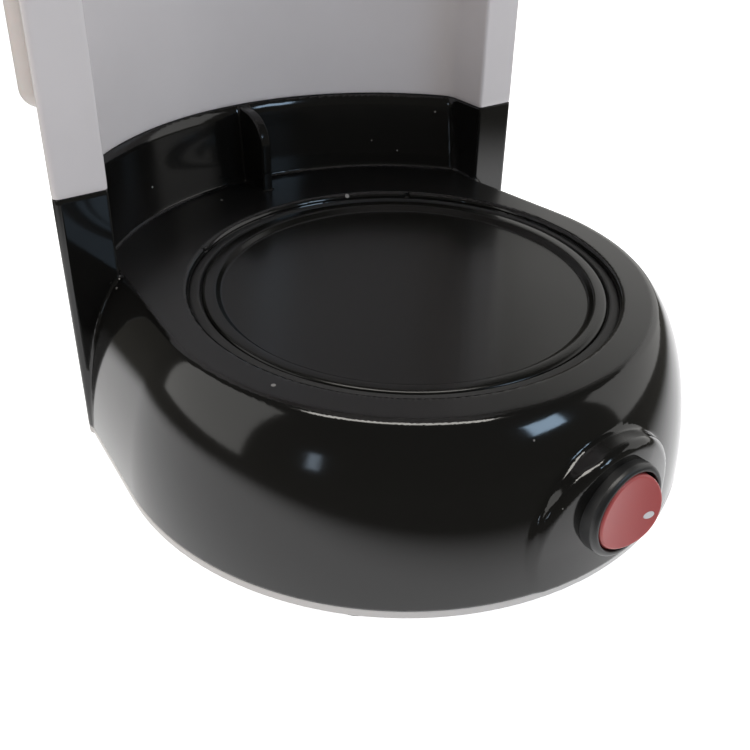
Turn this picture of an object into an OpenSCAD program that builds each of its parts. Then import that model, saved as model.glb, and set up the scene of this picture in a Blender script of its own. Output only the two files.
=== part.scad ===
// Small drip coffee maker: round base with warming plate, rear water tank,
// swing-out filter holder and hinged reservoir lid.

/* [Base drum] */
// Height of the rubber feet
foot_h = 2.3; // [1.5:0.1:4]
// Thickness of the bottom cover, seen as the thin rim
cover_t = 2.2; // [1.8:0.1:3.5]
// Height of the deck above the table
deck_z = 42; // [40:0.5:60]
// Radius of the drum at its bottom edge
drum_r = 69.7; // [67:0.1:76]
// Radius of the crease between the deck and the domed side
crease_r = 58.05; // [55:0.1:61]
// How far the dome curve would run on above the deck
dome_over = 2; // [1:0.1:6]
// Slope of the straight flanks that join the drum to the columns
flank_slope = 6.7; // [4:0.1:8]
// Wall thickness of the plastic mouldings
wall = 2.2; // [1.8:0.1:2.8]
// Thickness of the deck
deck_t = 2.4; // [2:0.1:3]

/* [Warming plate] */
// Radius of the well in the deck
well_r = 50; // [49:0.1:54]
// Radius of the warming plate
plate_r = 47.25; // [46:0.05:48]
// Inner radius of the plate's raised rim
plate_step_r = 43; // [40:0.1:43.5]
// Depth of the plate's rim below the deck
plate_drop = 1.2; // [0.6:0.1:1.8]
// Depth of the centre disc below the rim
plate_step = 1.2; // [0.8:0.1:2]
// Sheet thickness of the plate
plate_t = 0.8; // [0.6:0.1:1]
// Thickness of the gasket under the plate's edge
gasket_t = 1; // [0.8:0.1:1.4]

/* [Tower] */
// Height of the seam between the black base and the white tower
seam_z = 63; // [58:0.5:90]
// Height of the top of the tower
tower_z = 226; // [205:1:260]
// Front face of the columns, measured from the plate's centre
front_y = 36.4; // [34:0.1:40]
// Half width over the columns
col_out = 66.3; // [65:0.1:70]
// Half width between the columns
col_in = 54.3; // [52:0.1:55.5]
// Corner radius of the columns
corner_r = 1.2; // [1:0.1:5.5]
// Rear face of the tower, measured from the plate's centre
rear_y = 112; // [106:0.5:130]
// Sideways place of the rear corner centres
rear_x = 24; // [20:0.5:28]
// Radius of the rear corners
rear_r = 22; // [16:0.5:26]
// Depth of the jug recess behind the columns' front
recess_depth = 35.2; // [33:0.1:37]
// Extra radius of the concave wall in the white tower
wall_set = 1.6; // [1:0.1:3]
// Radius of the corners of the concave wall
recess_r = 6; // [4:0.1:8]
// Depth of the rib on the collar
rib_d = 10.4; // [6:0.1:12]
// Thickness of the rib
rib_t = 3; // [2:0.1:4]
// Rounding of the rib's top
rib_round = 8; // [5:0.5:10]

/* [Switch] */
// Height of the switch centre above the table
switch_z = 19.9; // [19:0.1:22]
// How far the boss face stands out in front of the drum's bottom edge
boss_out = 1.06; // [0.6:0.02:3]
// How far the boss's curved front stands out from the drum's bottom edge
boss_flush = 0.15; // [0.1:0.05:1]
// Tilt of the boss face
boss_tilt = 2.6; // [0:0.1:6]
// Radius of the boss
boss_r = 21; // [18:0.5:24]
// Drop of the boss centre below the switch centre
boss_drop = 6.9; // [4:0.1:8]
// Rounding of the boss's front edge
boss_round = 2.6; // [1.5:0.1:3.5]
// Radius of the switch's flange
bezel_r = 10.6; // [10.6:0.1:13]
// Height of the bezel ring
bezel_h = 2.7; // [2.4:0.1:5]
// Radius of the switch's body
switch_r = 9.9; // [9.7:0.1:10.3]
// Radius of the rocker
rocker_r = 8.6; // [8:0.1:8.7]
// Angle that each half of the rocker's top rises
rocker_v = 7; // [5:0.5:9]
// Turn of the switch in its hole
switch_turn = -25; // [-90:5:90]
// Depth of the switch behind the boss face
switch_d = 15; // [13:0.5:18]

/* [Filter holder] */
// Outer radius of the holder's cup
cup_r = 60; // [56:0.5:62]
// Wall of the holder and the basket
cup_w = 2; // [1.6:0.1:2.4]
// Height of the cup's wall
cup_h = 48; // [40:1:56]
// Height of the funnel below the cup
funnel_h = 18; // [14:1:24]
// Length of the outlet tube below the funnel
outlet_h = 7; // [6:0.5:10]
// Radius of the outlet tube
outlet_r = 8; // [7.5:0.1:9]
// Gap between the holder and the head above it
holder_gap = 1; // [0.6:0.1:2]
// Sideways place of the holder's pivot, from the plate's centre
pivot_x = 61; // [60:0.1:62]
// Forward gap from the pivot to the column's front
pivot_gap = 6.4; // [6:0.1:8]
// Radius of the holder's pivot pin
pivot_r = 2; // [1.6:0.1:2.4]
// Radius of the barrel round the pin
barrel_r = 5; // [4.6:0.1:5.4]
// Width of the holder's handle
handle_w = 30; // [20:1:40]
// Reach of the holder's handle
handle_l = 11; // [8:0.5:16]
// Stroke of the drip-stop valve
valve_stroke = 4; // [2:0.5:5]
// Radius of the valve's stem
stem_r = 2.5; // [2:0.1:3]

/* [Head and lid] */
// Height of the head housing above the tower
head_h = 12; // [12:0.5:20]
// Floor thickness of the head housing
head_t = 2.4; // [2:0.1:3]
// Radius of the head's front
head_r = 68.5; // [66:0.1:72]
// Height of the lid's edge
lid_h = 9; // [7:0.5:14]
// Crown of the lid's top
lid_crown = 4; // [2:0.5:8]
// Distance of the hinge behind the tower
hinge_out = 4.5; // [4:0.1:7]
// Radius of the hinge barrels
hinge_r = 4; // [3.4:0.1:4.4]
// Radius of the hinge pin
hinge_pin_r = 1.5; // [1.2:0.1:1.8]
// Half distance between the hinge's lugs
hinge_x = 22; // [16:0.5:28]

/* [Water path] */
// Wall of the tank
tank_w = 1.8; // [1.4:0.1:2.4]
// Gap between the tank and the tower
tank_gap = 0.8; // [0.5:0.1:1.5]
// Sideways place of the hoses
hose_x = 33; // [32:0.5:35]
// Rearward place of the tank's outlet and the riser
hose_y = 87; // [85:0.5:90]
// Height of the heater's water pipe
pipe_z = 30.5; // [30:0.1:31]
// Outer radius of the heater's pipe ends
pipe_r = 4.5; // [4:0.1:5]
// Bore radius of the pipes
pipe_bore = 3; // [2.5:0.1:3.2]
// Wall of the hoses
hose_w = 1.8; // [1.4:0.1:2]
// Bend radius of the hoses
bend_r = 14; // [12:0.5:15]
// Radius of the riser tube
riser_r = 4; // [3.6:0.1:4.2]
// Radius of the heater's U
heater_r = 33; // [32:0.5:34]

/* [Fixings] */
// Radius of the cord gland's bore
cord_r = 3.3; // [2.5:0.1:4]
// Radius of the rubber feet
foot_r = 6.5; // [5:0.5:8]
// Radius of the screws' threads
screw_r = 1.5; // [1.2:0.1:1.8]
// Running clearance of pins and sliding pieces
play = 0.08; // [0.05:0.01:0.1]
// Clearance between seated mouldings
seat_gap = 0.2; // [0.1:0.05:0.3]
// Radius of the level gauge
gauge_r = 4; // [3:0.1:5]

/* [Hidden] */
$fn = 64;
cover_z = foot_h;
base_z0 = foot_h + cover_t;
plate_top = deck_z - plate_drop;
disc_top = plate_top - plate_step;
disc_low = disc_top - plate_t;
seat_z = disc_top + 0.2 - gasket_t;
seat_t = 2.2;
hole_r = plate_step_r + 0.6;
dome_b = deck_z + dome_over;
dome_k0 = sqrt(1 - pow(deck_z / dome_b, 2));
dome_k1 = sqrt(1 - pow(base_z0 / dome_b, 2));
dome_a = (drum_r - crease_r) / (dome_k1 - dome_k0);
dome_c = crease_r - dome_a * dome_k0;
bezel_sink = 1.2;
face_y = -(drum_r + boss_out) + tan(boss_tilt) * (switch_z - base_z0);
collar_r = front_y + recess_depth;
tower_r = collar_r + wall_set;
flank_l = (front_y + 3 - drum_r * sin(flank_slope)) / cos(flank_slope);
hinge_y = rear_y + hinge_out;
head_z = tower_z + head_h;
hinge_z = head_z + 1;
cup_top = tower_z - holder_gap;
cup_z = cup_top - cup_h;
funnel_z = cup_z - funnel_h;
outlet_z = funnel_z - outlet_h;
funnel_r = outlet_r;
pivot_y = front_y - pivot_gap;
lug_t = 5;
lug_z = cup_z - 8;
front_edge = -face_y + 4.4;
back_edge = hinge_y + hinge_r;
plate_y = (front_edge - back_edge) / 2;
tank_z0 = seam_z + 3.4;
tank_top = tower_z - 2;
floor_z = seam_z;
gland_z = 17;
gland_w = 2.4;
block_x = 0;
block_y = 84;
block_z = 9;
heater_len = 40;
pipe_l = 18;
tube_r = 5.5;
heater_low = pipe_z - tube_r;
pad_in = 9;
pad_out = 6.5;
pad_len = sqrt(pow(hole_r, 2) - pow(heater_r + pad_out, 2)) - 0.8;
pin_x = 6.5;
pin_r = 1.3;
pin_z = seat_z - seat_t - pin_r - 0.3;
bar_z = heater_low - 1.6;
nut_z = bar_z - 4;
stud_y = 12;
fuse_z = heater_low - 2.4;
hose_start = heater_len + 2;
hose_top = tank_z0 - 5;
riser_z0 = tank_z0 - 15;
tank_out = wall + tank_gap;
tank_set = 14;
arm_z = tower_z + head_t + riser_r + 1.4;
arm_a = atan2(hose_y, hose_x);
arm_l = norm([hose_x, hose_y]);
ball_r = 2;
ball_seat = sqrt(pow(ball_r + 0.05, 2) - pow(1.5, 2));
rocker_in = 7;
rocker_gap = 0.45;
dot_x = 5.6;
dot_r = 1;
dot_t = 0.5;
lead_r = 1.2;
term_l = face_y + switch_d + 9;
spring_r = 5;
spring_room = 5.5;
spring_n = 3;
basket_top = cup_top - 1;
stem_top = funnel_z + 6 + 1.6;
gauge_pipe_r = 2;
gauge_z0 = seam_z + 17;
gauge_z1 = tower_z - 20;
gauge_ends = [gauge_z0 + 8, gauge_z1 - 8];
screw_at = [[-42, -30], [42, -30], [-46, 62], [46, 62]];
foot_at = [[-44, -42], [44, -42], [-42, 74], [42, 74]];
post_w = 1.2;
post_x = col_in + wall + screw_r + post_w + 0.2;
tower_screw_at = [[-post_x, front_y + 5.6], [post_x, front_y + 5.6], [-14, rear_y - 12], [14, rear_y - 12]];

module placed() translate([0, plate_y, 0]) children();
module on_face() translate([0, face_y, switch_z]) rotate([90 - boss_tilt, 0, 0]) children();
module turned() on_face() rotate([0, 0, switch_turn]) children();
module both() { children(); mirror([1, 0, 0]) children(); }
module at(list) for (p = list) translate([p[0], p[1], 0]) children();

// outline round a ring of circles [x, y, r], counterclockwise, moved out by d
function bend(a, b, d) = let(v = [b[0] - a[0], b[1] - a[1]])
  atan2(v[1], v[0]) - 90 + asin((a[2] - b[2]) / norm(v));
function unwind(a, b) = b < a ? unwind(a, b + 360) : (b > a + 360 ? unwind(a, b - 360) : b);
function belt(c, d, n) = let(m = len(c)) [for (i = [0:m - 1])
  let(a = bend(c[(i + m - 1) % m], c[i], d), b = unwind(a, bend(c[i], c[(i + 1) % m], d)))
  for (k = [0:n]) let(t = a + (b - a) * k / n)
    [c[i][0] + (c[i][2] + d) * cos(t), c[i][1] + (c[i][2] + d) * sin(t)]];
// the front corners stay a little round however far the outline moves in
function tower_ring(d) = let(r = max(corner_r + d, 0.8), x = col_out + d - r, y = front_y - d + r)
  [[x, y, r], [rear_x, rear_y - rear_r, rear_r + d], [-rear_x, rear_y - rear_r, rear_r + d], [-x, y, r]];
function head_ring(d) = concat([[0, 0, head_r + d]], tower_ring(d));

module tower_plan(d) polygon(belt(tower_ring(d), 0, 10));
module head_plan(d) polygon(belt(head_ring(d), 0, 16));

// jug space: straight between the columns, closed by the concave wall
module recess_plan(r, x, c, open_y = 0) {
  y = sqrt(pow(r - c, 2) - pow(x - c, 2));
  a = atan2(y, x - c);
  w = 2 * col_out;
  polygon(concat(open_y > 0 ? [[-x, open_y], [-w, open_y], [-w, -w], [w, -w], [w, open_y], [x, open_y]] : [[-x, -w], [x, -w]],
    [for (k = [0:6]) [x - c + c * cos(a * k / 6), y + c * sin(a * k / 6)]],
    [for (k = [1:23]) let(t = a + (180 - 2 * a) * k / 24) [r * cos(t), r * sin(t)]],
    [for (k = [0:6]) [c - x + c * cos(180 - a + a * k / 6), y + c * sin(180 - a + a * k / 6)]]));
}

function dome_x(z) = dome_c + dome_a * sqrt(max(0, 1 - pow(z / dome_b, 2)));
module dome_side(d, z0, z1, n) {
  polygon(concat([[0, z0]], [for (k = [0:n]) let(z = z0 + (z1 - z0) * k / n) [dome_x(z) - d, z]], [[0, z1]]));
}
module drum(d, z0, z1) hull() {
  rotate_extrude($fn = 48) dome_side(d, z0, z1, 8);
  both() rotate([0, 0, flank_slope]) rotate([90, 0, 0]) translate([0, 0, -flank_l])
    linear_extrude(1) dome_side(d, z0, z1, 8);
}
module boss(d) intersection() {
  on_face() translate([0, -boss_drop, -26 - d]) rotate_extrude($fn = 96) polygon(concat([[0, 0], [boss_r - d, 0]],
    [for (k = [0:5]) [boss_r - boss_round + (boss_round - min(d, boss_round - 0.4)) * cos(k * 18) - max(0, d - boss_round + 0.4),
      26 - boss_round + (boss_round - min(d, boss_round - 0.4)) * sin(k * 18) - max(0, d - boss_round + 0.4)]],
    [[0, 26 - min(d, boss_round - 0.4) - max(0, d - boss_round + 0.4)]]));
  translate([-60, -120, base_z0 - d * 4]) cube([120, 120, deck_z]);
  translate([0, 0, base_z0 - d * 4 - 1]) cylinder(r = drum_r + boss_flush - d, h = deck_z + 2, $fn = 180);
}
module screw_post(z0, z1, w = 2.2) translate([0, 0, z0]) difference() {
  cylinder(r = screw_r + w, h = z1 - z0);
  translate([0, 0, -1]) cylinder(r = screw_r, h = min(12, z1 - z0 - 2) + 1);
}

// drum, boss and tower foot in one, moved in by d
module base_form(d, z0, z1, z2) difference() {
  union() {
    drum(d, z0, z1 + dome_over * 0.4);
    boss(d);
    translate([0, 0, z0]) linear_extrude(z2 - z0) tower_plan(-d);
  }
  translate([0, 0, z1]) linear_extrude(z2) recess_plan(collar_r + d, col_in + d, recess_r + d, front_y - 1);
}
module base_housing() color("black") placed() difference() {
  union() {
    difference() {
      base_form(0, base_z0, deck_z, seam_z);
      base_form(wall, base_z0 - 1, deck_z - deck_t, seam_z + 1);
    }
    translate([0, 0, seat_z - seat_t]) cylinder(r = well_r + 1.6, h = deck_z - deck_t / 2 - seat_z + seat_t);
    at(screw_at) screw_post(base_z0, deck_z - deck_t / 2);
    difference() {
      at(tower_screw_at) translate([0, 0, seam_z - 12]) cylinder(r = screw_r + 2.4, h = 4);
      at(tower_screw_at) translate([0, 0, seam_z - 13]) cylinder(r = screw_r + seat_gap, h = 6);
    }
    intersection() {
      both() translate([col_in + wall / 2, front_y + wall / 2, seam_z - 12]) cube([9, 9.5, 4]);
      translate([0, 0, base_z0]) linear_extrude(seam_z) tower_plan(-wall / 2);
      difference() {
        cube([300, 300, 200], center = true);
        both() translate([tower_screw_at[1][0], tower_screw_at[1][1], 0]) cylinder(r = screw_r + seat_gap, h = seam_z);
      }
    }
    translate([-18, rear_y - 12 - 4, seam_z - 12]) difference() {
      cube([36, 16 - wall / 2, 4]);
      for (x = [-14, 14]) translate([18 + x, 4, -1]) cylinder(r = screw_r + seat_gap, h = 6);
    }
    translate([rib_t / 2, 0, 0]) rotate([0, -90, 0]) linear_extrude(rib_t) polygon(concat(
      [[deck_z - deck_t / 2, collar_r + wall / 2], [deck_z - deck_t / 2, collar_r - rib_d]],
      [for (k = [0:6]) [seam_z - 0.6 - rib_round + rib_round * sin(k * 15), collar_r - rib_d + rib_round - rib_round * cos(k * 15)]],
      [[seam_z - 0.6, collar_r + wall / 2]]));
  }
  translate([0, 0, seat_z]) cylinder(r = well_r, h = 30);
  cylinder(r = hole_r, h = 80);
  on_face() translate([0, 0, -8]) cylinder(r = switch_r + play, h = 20);
  on_face() translate([0, 0, -bezel_sink]) cylinder(r = bezel_r + play, h = 20);
  translate([0, rear_y + 1, gland_z]) rotate([90, 0, 0]) cylinder(r = cord_r + gland_w, h = wall * 2 + 1);
}

module base_cover() color("ivory") placed() difference() {
  union() {
    translate([0, 0, cover_z]) linear_extrude(cover_t) union() {
      tower_plan(0);
      circle(r = drum_r, $fn = 96);
      both() rotate([0, 0, flank_slope]) square([drum_r * cos(180 / 48), flank_l]);
    }
    // locating lip inside the housing
    translate([0, 0, cover_z]) linear_extrude(cover_t + 2.5) difference() {
      union() { tower_plan(-wall - seat_gap); circle(r = drum_r - wall - seat_gap - 0.3, $fn = 96); }
      union() { tower_plan(-wall - seat_gap - 1.4); circle(r = drum_r - wall - seat_gap - 1.7, $fn = 96); }
      translate([-(boss_r + 2), -drum_r - 5]) square([2 * boss_r + 4, 30]);
      translate([-9, rear_y - 12]) square([18, 14]);
    }
    at(screw_at) translate([0, 0, cover_z]) cylinder(r = screw_r + 3, h = cover_t);
    translate([block_x - 3, block_y - 8, base_z0]) cube([6, 4, block_z - base_z0]);
    translate([block_x - 3, block_y + 4, base_z0]) cube([6, 4, block_z - base_z0]);
  }
  at(screw_at) translate([0, 0, cover_z - 1]) cylinder(r = screw_r + seat_gap, h = 10);
  at(screw_at) translate([0, 0, cover_z - 0.01]) cylinder(r1 = 3, r2 = screw_r + seat_gap, h = 1.4);
  at(foot_at) translate([0, 0, cover_z - 1]) cylinder(r = 3, h = 10);
  for (x = [-24:6:24]) translate([x - 1, 8, cover_z - 1]) cube([2, 26, 10]);
}

module tower_walls(z0, z1, r, w) difference() {
  translate([0, 0, z0]) linear_extrude(z1 - z0) tower_plan(0);
  translate([0, 0, z0 - 1]) linear_extrude(z1 - z0 + 2) recess_plan(r, col_in, recess_r);
  difference() {
    translate([0, 0, z0 - 1]) linear_extrude(z1 - z0 + 2) tower_plan(-w);
    translate([0, 0, z0 - 2]) linear_extrude(z1 - z0 + 4) recess_plan(r + w, col_in + w, recess_r + w);
  }
}
module tower_housing() color("white") placed() difference() {
  union() {
    tower_walls(seam_z, tower_z, tower_r, wall);
    // floor that closes the base and carries the tank
    translate([0, 0, floor_z]) linear_extrude(2.4) difference() {
      tower_plan(-wall / 2);
      recess_plan(tower_r + wall / 2, col_in + wall / 2, recess_r + wall / 2);
    }
    at(tower_screw_at) screw_post(seam_z - 8, seam_z + 1, post_w);
    both() difference() {
      translate([tower_screw_at[1][0], tower_screw_at[1][1], tower_z - 16]) cylinder(r = screw_r + post_w, h = 16);
      translate([tower_screw_at[1][0], tower_screw_at[1][1], tower_z - 12]) cylinder(r = screw_r, h = 20);
    }
    both() translate([col_in + wall / 2, front_y + wall / 2, tower_z - 16]) cube([3, 6, 16]);
    // lug for the lower end of the pivot
    difference() {
      union() {
        translate([-pivot_x, pivot_y, lug_z]) cylinder(r = barrel_r, h = lug_t);
        translate([-pivot_x - 4, pivot_y, lug_z]) cube([8, pivot_gap + 1, lug_t]);
      }
      translate([-pivot_x, pivot_y, lug_z + 1]) cylinder(r = pivot_r + play, h = 20);
    }
  }
  translate([-hose_x, hose_y, floor_z - 1]) cylinder(r = 8 + seat_gap, h = 10);
  translate([hose_x, hose_y, floor_z - 1]) cylinder(r = riser_r + 3 + seat_gap, h = 10);
  for (z = gauge_ends) translate([0, 0, z]) gauge_pipe(gauge_pipe_r + 0.1, 6);
}

// level gauge: a rib on the left wall just behind the column
gauge_a = bend(tower_ring(0)[0], tower_ring(0)[1], 0);
gauge_c = [-(col_out - corner_r) - corner_r * cos(gauge_a) + 9 * sin(gauge_a),
  front_y + corner_r + corner_r * sin(gauge_a) + 9 * cos(gauge_a)];
module at_gauge() translate([gauge_c[0], gauge_c[1], 0]) rotate([0, 0, 180 - gauge_a]) children();
module gauge_pipe(r, l) at_gauge() translate([-l, 0, 0]) rotate([0, 90, 0]) cylinder(r = r, h = l + 0.5);
module level_gauge() color("lightyellow") placed() {
  difference() {
    union() {
      intersection() {
        union() {
          at_gauge() translate([-0.8, 0, gauge_z0 + gauge_r]) cylinder(r = gauge_r, h = gauge_z1 - gauge_z0 - 2 * gauge_r);
          at_gauge() translate([-0.8, 0, gauge_z0 + gauge_r]) sphere(r = gauge_r);
          at_gauge() translate([-0.8, 0, gauge_z1 - gauge_r]) sphere(r = gauge_r);
        }
        at_gauge() translate([0, -20, 0]) cube([20, 40, tower_z]);
      }
      for (z = gauge_ends) translate([0, 0, z]) gauge_pipe(gauge_pipe_r, wall + tank_gap);
    }
    for (z = gauge_ends) translate([0, 0, z]) gauge_pipe(gauge_pipe_r - 0.8, 8);
    at_gauge() translate([1, 0, gauge_z0 + gauge_r]) cylinder(r = 1.4, h = gauge_z1 - gauge_z0 - 2 * gauge_r);
  }
}

module warming_plate() color([0.12, 0.12, 0.12]) placed() {
  rotate_extrude($fn = 96) polygon([[0, disc_low], [plate_step_r, disc_low], [plate_step_r + 1.2, plate_top - plate_t],
    [plate_r - 1.2, plate_top - plate_t], [plate_r - plate_t, seat_z + gasket_t],
    [plate_r, seat_z + gasket_t], [plate_r, plate_top - 0.9], [plate_r - 0.3, plate_top - 0.3], [plate_r - 0.9, plate_top],
    [plate_step_r + 1.2, plate_top], [plate_step_r, disc_top], [0, disc_top]]);
  translate([0, stud_y, nut_z - 2]) cylinder(r = 2.5, h = disc_low - nut_z + 2);
}

module plate_gasket() color([0.2, 0.2, 0.2]) placed() rotate_extrude($fn = 96) polygon([
  [hole_r + 0.8, seat_z], [well_r - seat_gap, seat_z], [well_r - seat_gap, plate_top - 0.6], [plate_r + seat_gap, plate_top - 0.6],
  [plate_r + seat_gap, seat_z + gasket_t], [hole_r + 0.8, seat_z + gasket_t]]);

// switch -------------------------------------------------------------
module switch_body() color([0.1, 0.1, 0.1]) placed() turned() difference() {
  rotate_extrude($fn = 96) polygon([[0, -switch_d], [switch_r, -switch_d], [switch_r, -bezel_sink], [bezel_r, -bezel_sink], [bezel_r, bezel_h / 2],
    [bezel_r - 0.5, bezel_h / 2 + 0.5], [switch_r + 0.2, bezel_h], [rocker_r + rocker_gap, bezel_h], [0, bezel_h]]);
  translate([0, 0, -rocker_in]) cylinder(r = rocker_r + rocker_gap, h = 20);
  translate([0, 0, 0]) rotate([90, 0, 0]) cylinder(r = 1.2 + play, h = 2 * (rocker_r + rocker_gap + 0.5), center = true);
  translate([4, 0, -switch_d + 1.5]) cylinder(r = 2.1, h = switch_d);
}
module rocker_tilt() turned() rotate([0, -rocker_v, 0]) children();
module rocker() color("red") placed() rocker_tilt() difference() {
  union() {
    intersection() {
      translate([0, 0, -3.2]) cylinder(r = rocker_r - 0.1, h = 14);
      rotate([90, 0, 0]) linear_extrude(40, center = true) polygon([[-12, -2.2], [12, -2.2],
        [12, bezel_h + 0.35 + 12 * tan(rocker_v)], [0, bezel_h + 0.35], [-12, bezel_h + 0.35 + 12 * tan(rocker_v)]]);
      sphere(r = norm([rocker_r, bezel_h + 1.6]));
    }
    rotate([90, 0, 0]) cylinder(r = 1.2, h = 2 * (rocker_r + rocker_gap + 0.35), center = true);
  }
  rotate([0, -rocker_v, 0]) translate([dot_x, 0, bezel_h + 0.35 - dot_t]) cylinder(r = dot_r, h = 10);
  translate([-6, -3, -5]) cube([12, 6, 4.2]);
}
module rocker_dot() color("white") placed() turned() rotate([0, -2 * rocker_v, 0])
  translate([dot_x, 0, bezel_h + 0.35 - dot_t]) cylinder(r = dot_r, h = dot_t);
module switch_lamp() color("orange") placed() turned() translate([4, 0, -switch_d + 1.5]) {
  cylinder(r = 2, h = 4);
  translate([0, 0, 4]) sphere(r = 2);
}
module switch_terminals() color("silver") placed() turned() for (x = [-6, 0, 6])
  translate([x - 0.4, -2.4, -switch_d - 7]) cube([0.8, 4.8, 7]);

// tank and water path ----------------------------------------------------
module tank_plan(d) difference() {
  tower_plan(-tank_out + d);
  recess_plan(tower_r + tank_out - d, col_in + tank_out - d, recess_r + tank_out - d);
  // the columns stay clear
  translate([-200, -200]) square([400, 200 + front_y + tank_set - d]);
}
module tank() color([0.8, 0.9, 1, 0.6]) placed() difference() {
  union() {
    difference() {
      translate([0, 0, tank_z0]) linear_extrude(tank_top - tank_z0) tank_plan(0);
      translate([0, 0, tank_z0 + tank_w]) linear_extrude(tank_top) tank_plan(-tank_w);
    }
    translate([-hose_x, hose_y, tank_z0 - 15]) cylinder(r = pipe_r, h = 16);
    translate([-hose_x, hose_y, tank_z0 - 1]) cylinder(r = 8, h = 2);
  }
  translate([-hose_x, hose_y, tank_z0 - 20]) cylinder(r = pipe_bore, h = 40);
  translate([hose_x, hose_y, tank_z0 - 1]) cylinder(r = riser_r + 1.4, h = 10);
}
module riser_grommet() color([0.4, 0.4, 0.4]) placed() translate([hose_x, hose_y, tank_z0]) rotate_extrude() polygon([
  [riser_r, -1.2], [riser_r + 2.6, -1.2], [riser_r + 2.6, 0], [riser_r + 1.4, 0], [riser_r + 1.4, tank_w],
  [riser_r + 2.6, tank_w], [riser_r + 2.6, tank_w + 1.2], [riser_r, tank_w + 1.2]]);
module riser_tube() color("silver") placed() translate([hose_x, hose_y, riser_z0]) difference() {
  cylinder(r = riser_r, h = tower_z - 4 - riser_z0);
  translate([0, 0, -1]) cylinder(r = pipe_bore, h = tower_z - riser_z0);
}
module spout_arm() color("whitesmoke") placed() difference() {
  union() {
    translate([hose_x, hose_y, tower_z - 14]) cylinder(r = riser_r + 1.2, h = arm_z - tower_z + 14);
    translate([hose_x, hose_y, arm_z]) sphere(r = riser_r + 1.5);
    translate([0, 0, arm_z]) rotate([0, 0, arm_a]) rotate([0, 90, 0]) cylinder(r = riser_r + 1.2, h = arm_l);
    translate([0, 0, arm_z]) sphere(r = riser_r + 1.5);
    translate([0, 0, tower_z + head_t]) cylinder(r = riser_r + 1.2, h = arm_z - tower_z - head_t);
  }
  translate([hose_x, hose_y, tower_z - 15]) cylinder(r = riser_r, h = 11);
  translate([hose_x, hose_y, tower_z - 15]) cylinder(r = pipe_bore, h = arm_z - tower_z + 15);
  translate([hose_x, hose_y, arm_z]) sphere(r = pipe_bore + 0.2);
  translate([0, 0, arm_z]) rotate([0, 0, arm_a]) rotate([0, 90, 0]) cylinder(r = pipe_bore, h = arm_l);
  translate([0, 0, arm_z]) sphere(r = pipe_bore + 0.2);
  translate([0, 0, tower_z]) cylinder(r = pipe_bore, h = arm_z - tower_z);
}
module spray_head() color("dimgray") placed() difference() {
  union() {
    translate([0, 0, tower_z - 0.8]) cylinder(r = 22, h = 0.8);
    translate([0, 0, tower_z - 0.01]) cylinder(r = 11.8, h = head_t + 0.01);
  }
  translate([0, 0, tower_z]) cylinder(r = 10, h = 10);
  for (n = [0:7]) rotate([0, 0, n * 45]) translate([7, 0, tower_z - 2]) cylinder(r = 0.9, h = 10);
  translate([0, 0, tower_z - 2]) cylinder(r = 0.9, h = 10);
}

// hose from the heater's pipe end, back and up to a vertical pipe
module hose(x, z1) difference() {
  hose_body(x, pipe_r + hose_w, z1, 0);
  hose_body(x, pipe_r, z1, 1);
}
module hose_body(x, r, z1, e) {
  translate([x, hose_start - e, pipe_z]) rotate([-90, 0, 0]) cylinder(r = r, h = hose_y - bend_r - hose_start + e);
  translate([x, hose_y - bend_r, pipe_z + bend_r]) rotate([0, 90, 0]) rotate([0, 0, 0]) rotate_extrude(angle = 90) translate([bend_r, 0]) circle(r = r);
  translate([x, hose_y, pipe_z + bend_r]) cylinder(r = r, h = z1 - pipe_z - bend_r + e);
}
module cold_hose() color([0.85, 0.85, 0.8]) placed() hose(-hose_x, hose_top);
module hot_hose() color([0.85, 0.85, 0.8]) placed() difference() {
  hose_body(hose_x, pipe_r + hose_w, hose_top, 0);
  hose_body(hose_x, pipe_r - 0.5, hose_top, 1);
  translate([hose_x, hose_start - 1, pipe_z]) rotate([-90, 0, 0]) cylinder(r = pipe_r, h = heater_len + pipe_l - hose_start + 1);
}
module clamp_ring() difference() {
  cylinder(r = pipe_r + hose_w + 0.9, h = 4);
  translate([0, 0, -1]) cylinder(r = pipe_r + hose_w, h = 6);
}
module hose_clamps() color("silver") placed() {
  for (x = [-hose_x, hose_x]) {
    translate([x, hose_start + 3, pipe_z]) rotate([-90, 0, 0]) clamp_ring();
    translate([x, hose_y, riser_z0 + 3]) clamp_ring();
  }
}
// one-way valve in the tank's outlet
module check_valve() color("white") placed() translate([-hose_x, hose_y, tank_z0]) difference() {
  union() {
    translate([0, 0, tank_w]) cylinder(r = 7, h = 1.2);
    translate([0, 0, -9]) cylinder(r = pipe_bore - 0.02, h = 9 + tank_w);
    translate([0, 0, tank_w + 1.2]) cylinder(r = 5, h = 5);
  }
  translate([0, 0, -10]) cylinder(r = 1.5, h = 30);
  translate([0, 0, -6]) cylinder(r = 2.3, h = 9.4);
  for (a = [0, 90]) rotate([0, 0, a]) translate([-2.1, -0.5, -10]) cube([4.2, 1, 4.6]);
  for (a = [0, 90]) rotate([0, 0, a]) translate([-10, -1, tank_w + 2.4]) cube([20, 2, 2.6]);
}
module check_ball() color("gray") placed() translate([-hose_x, hose_y, tank_z0 - 6 + ball_seat]) sphere(r = ball_r);

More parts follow.
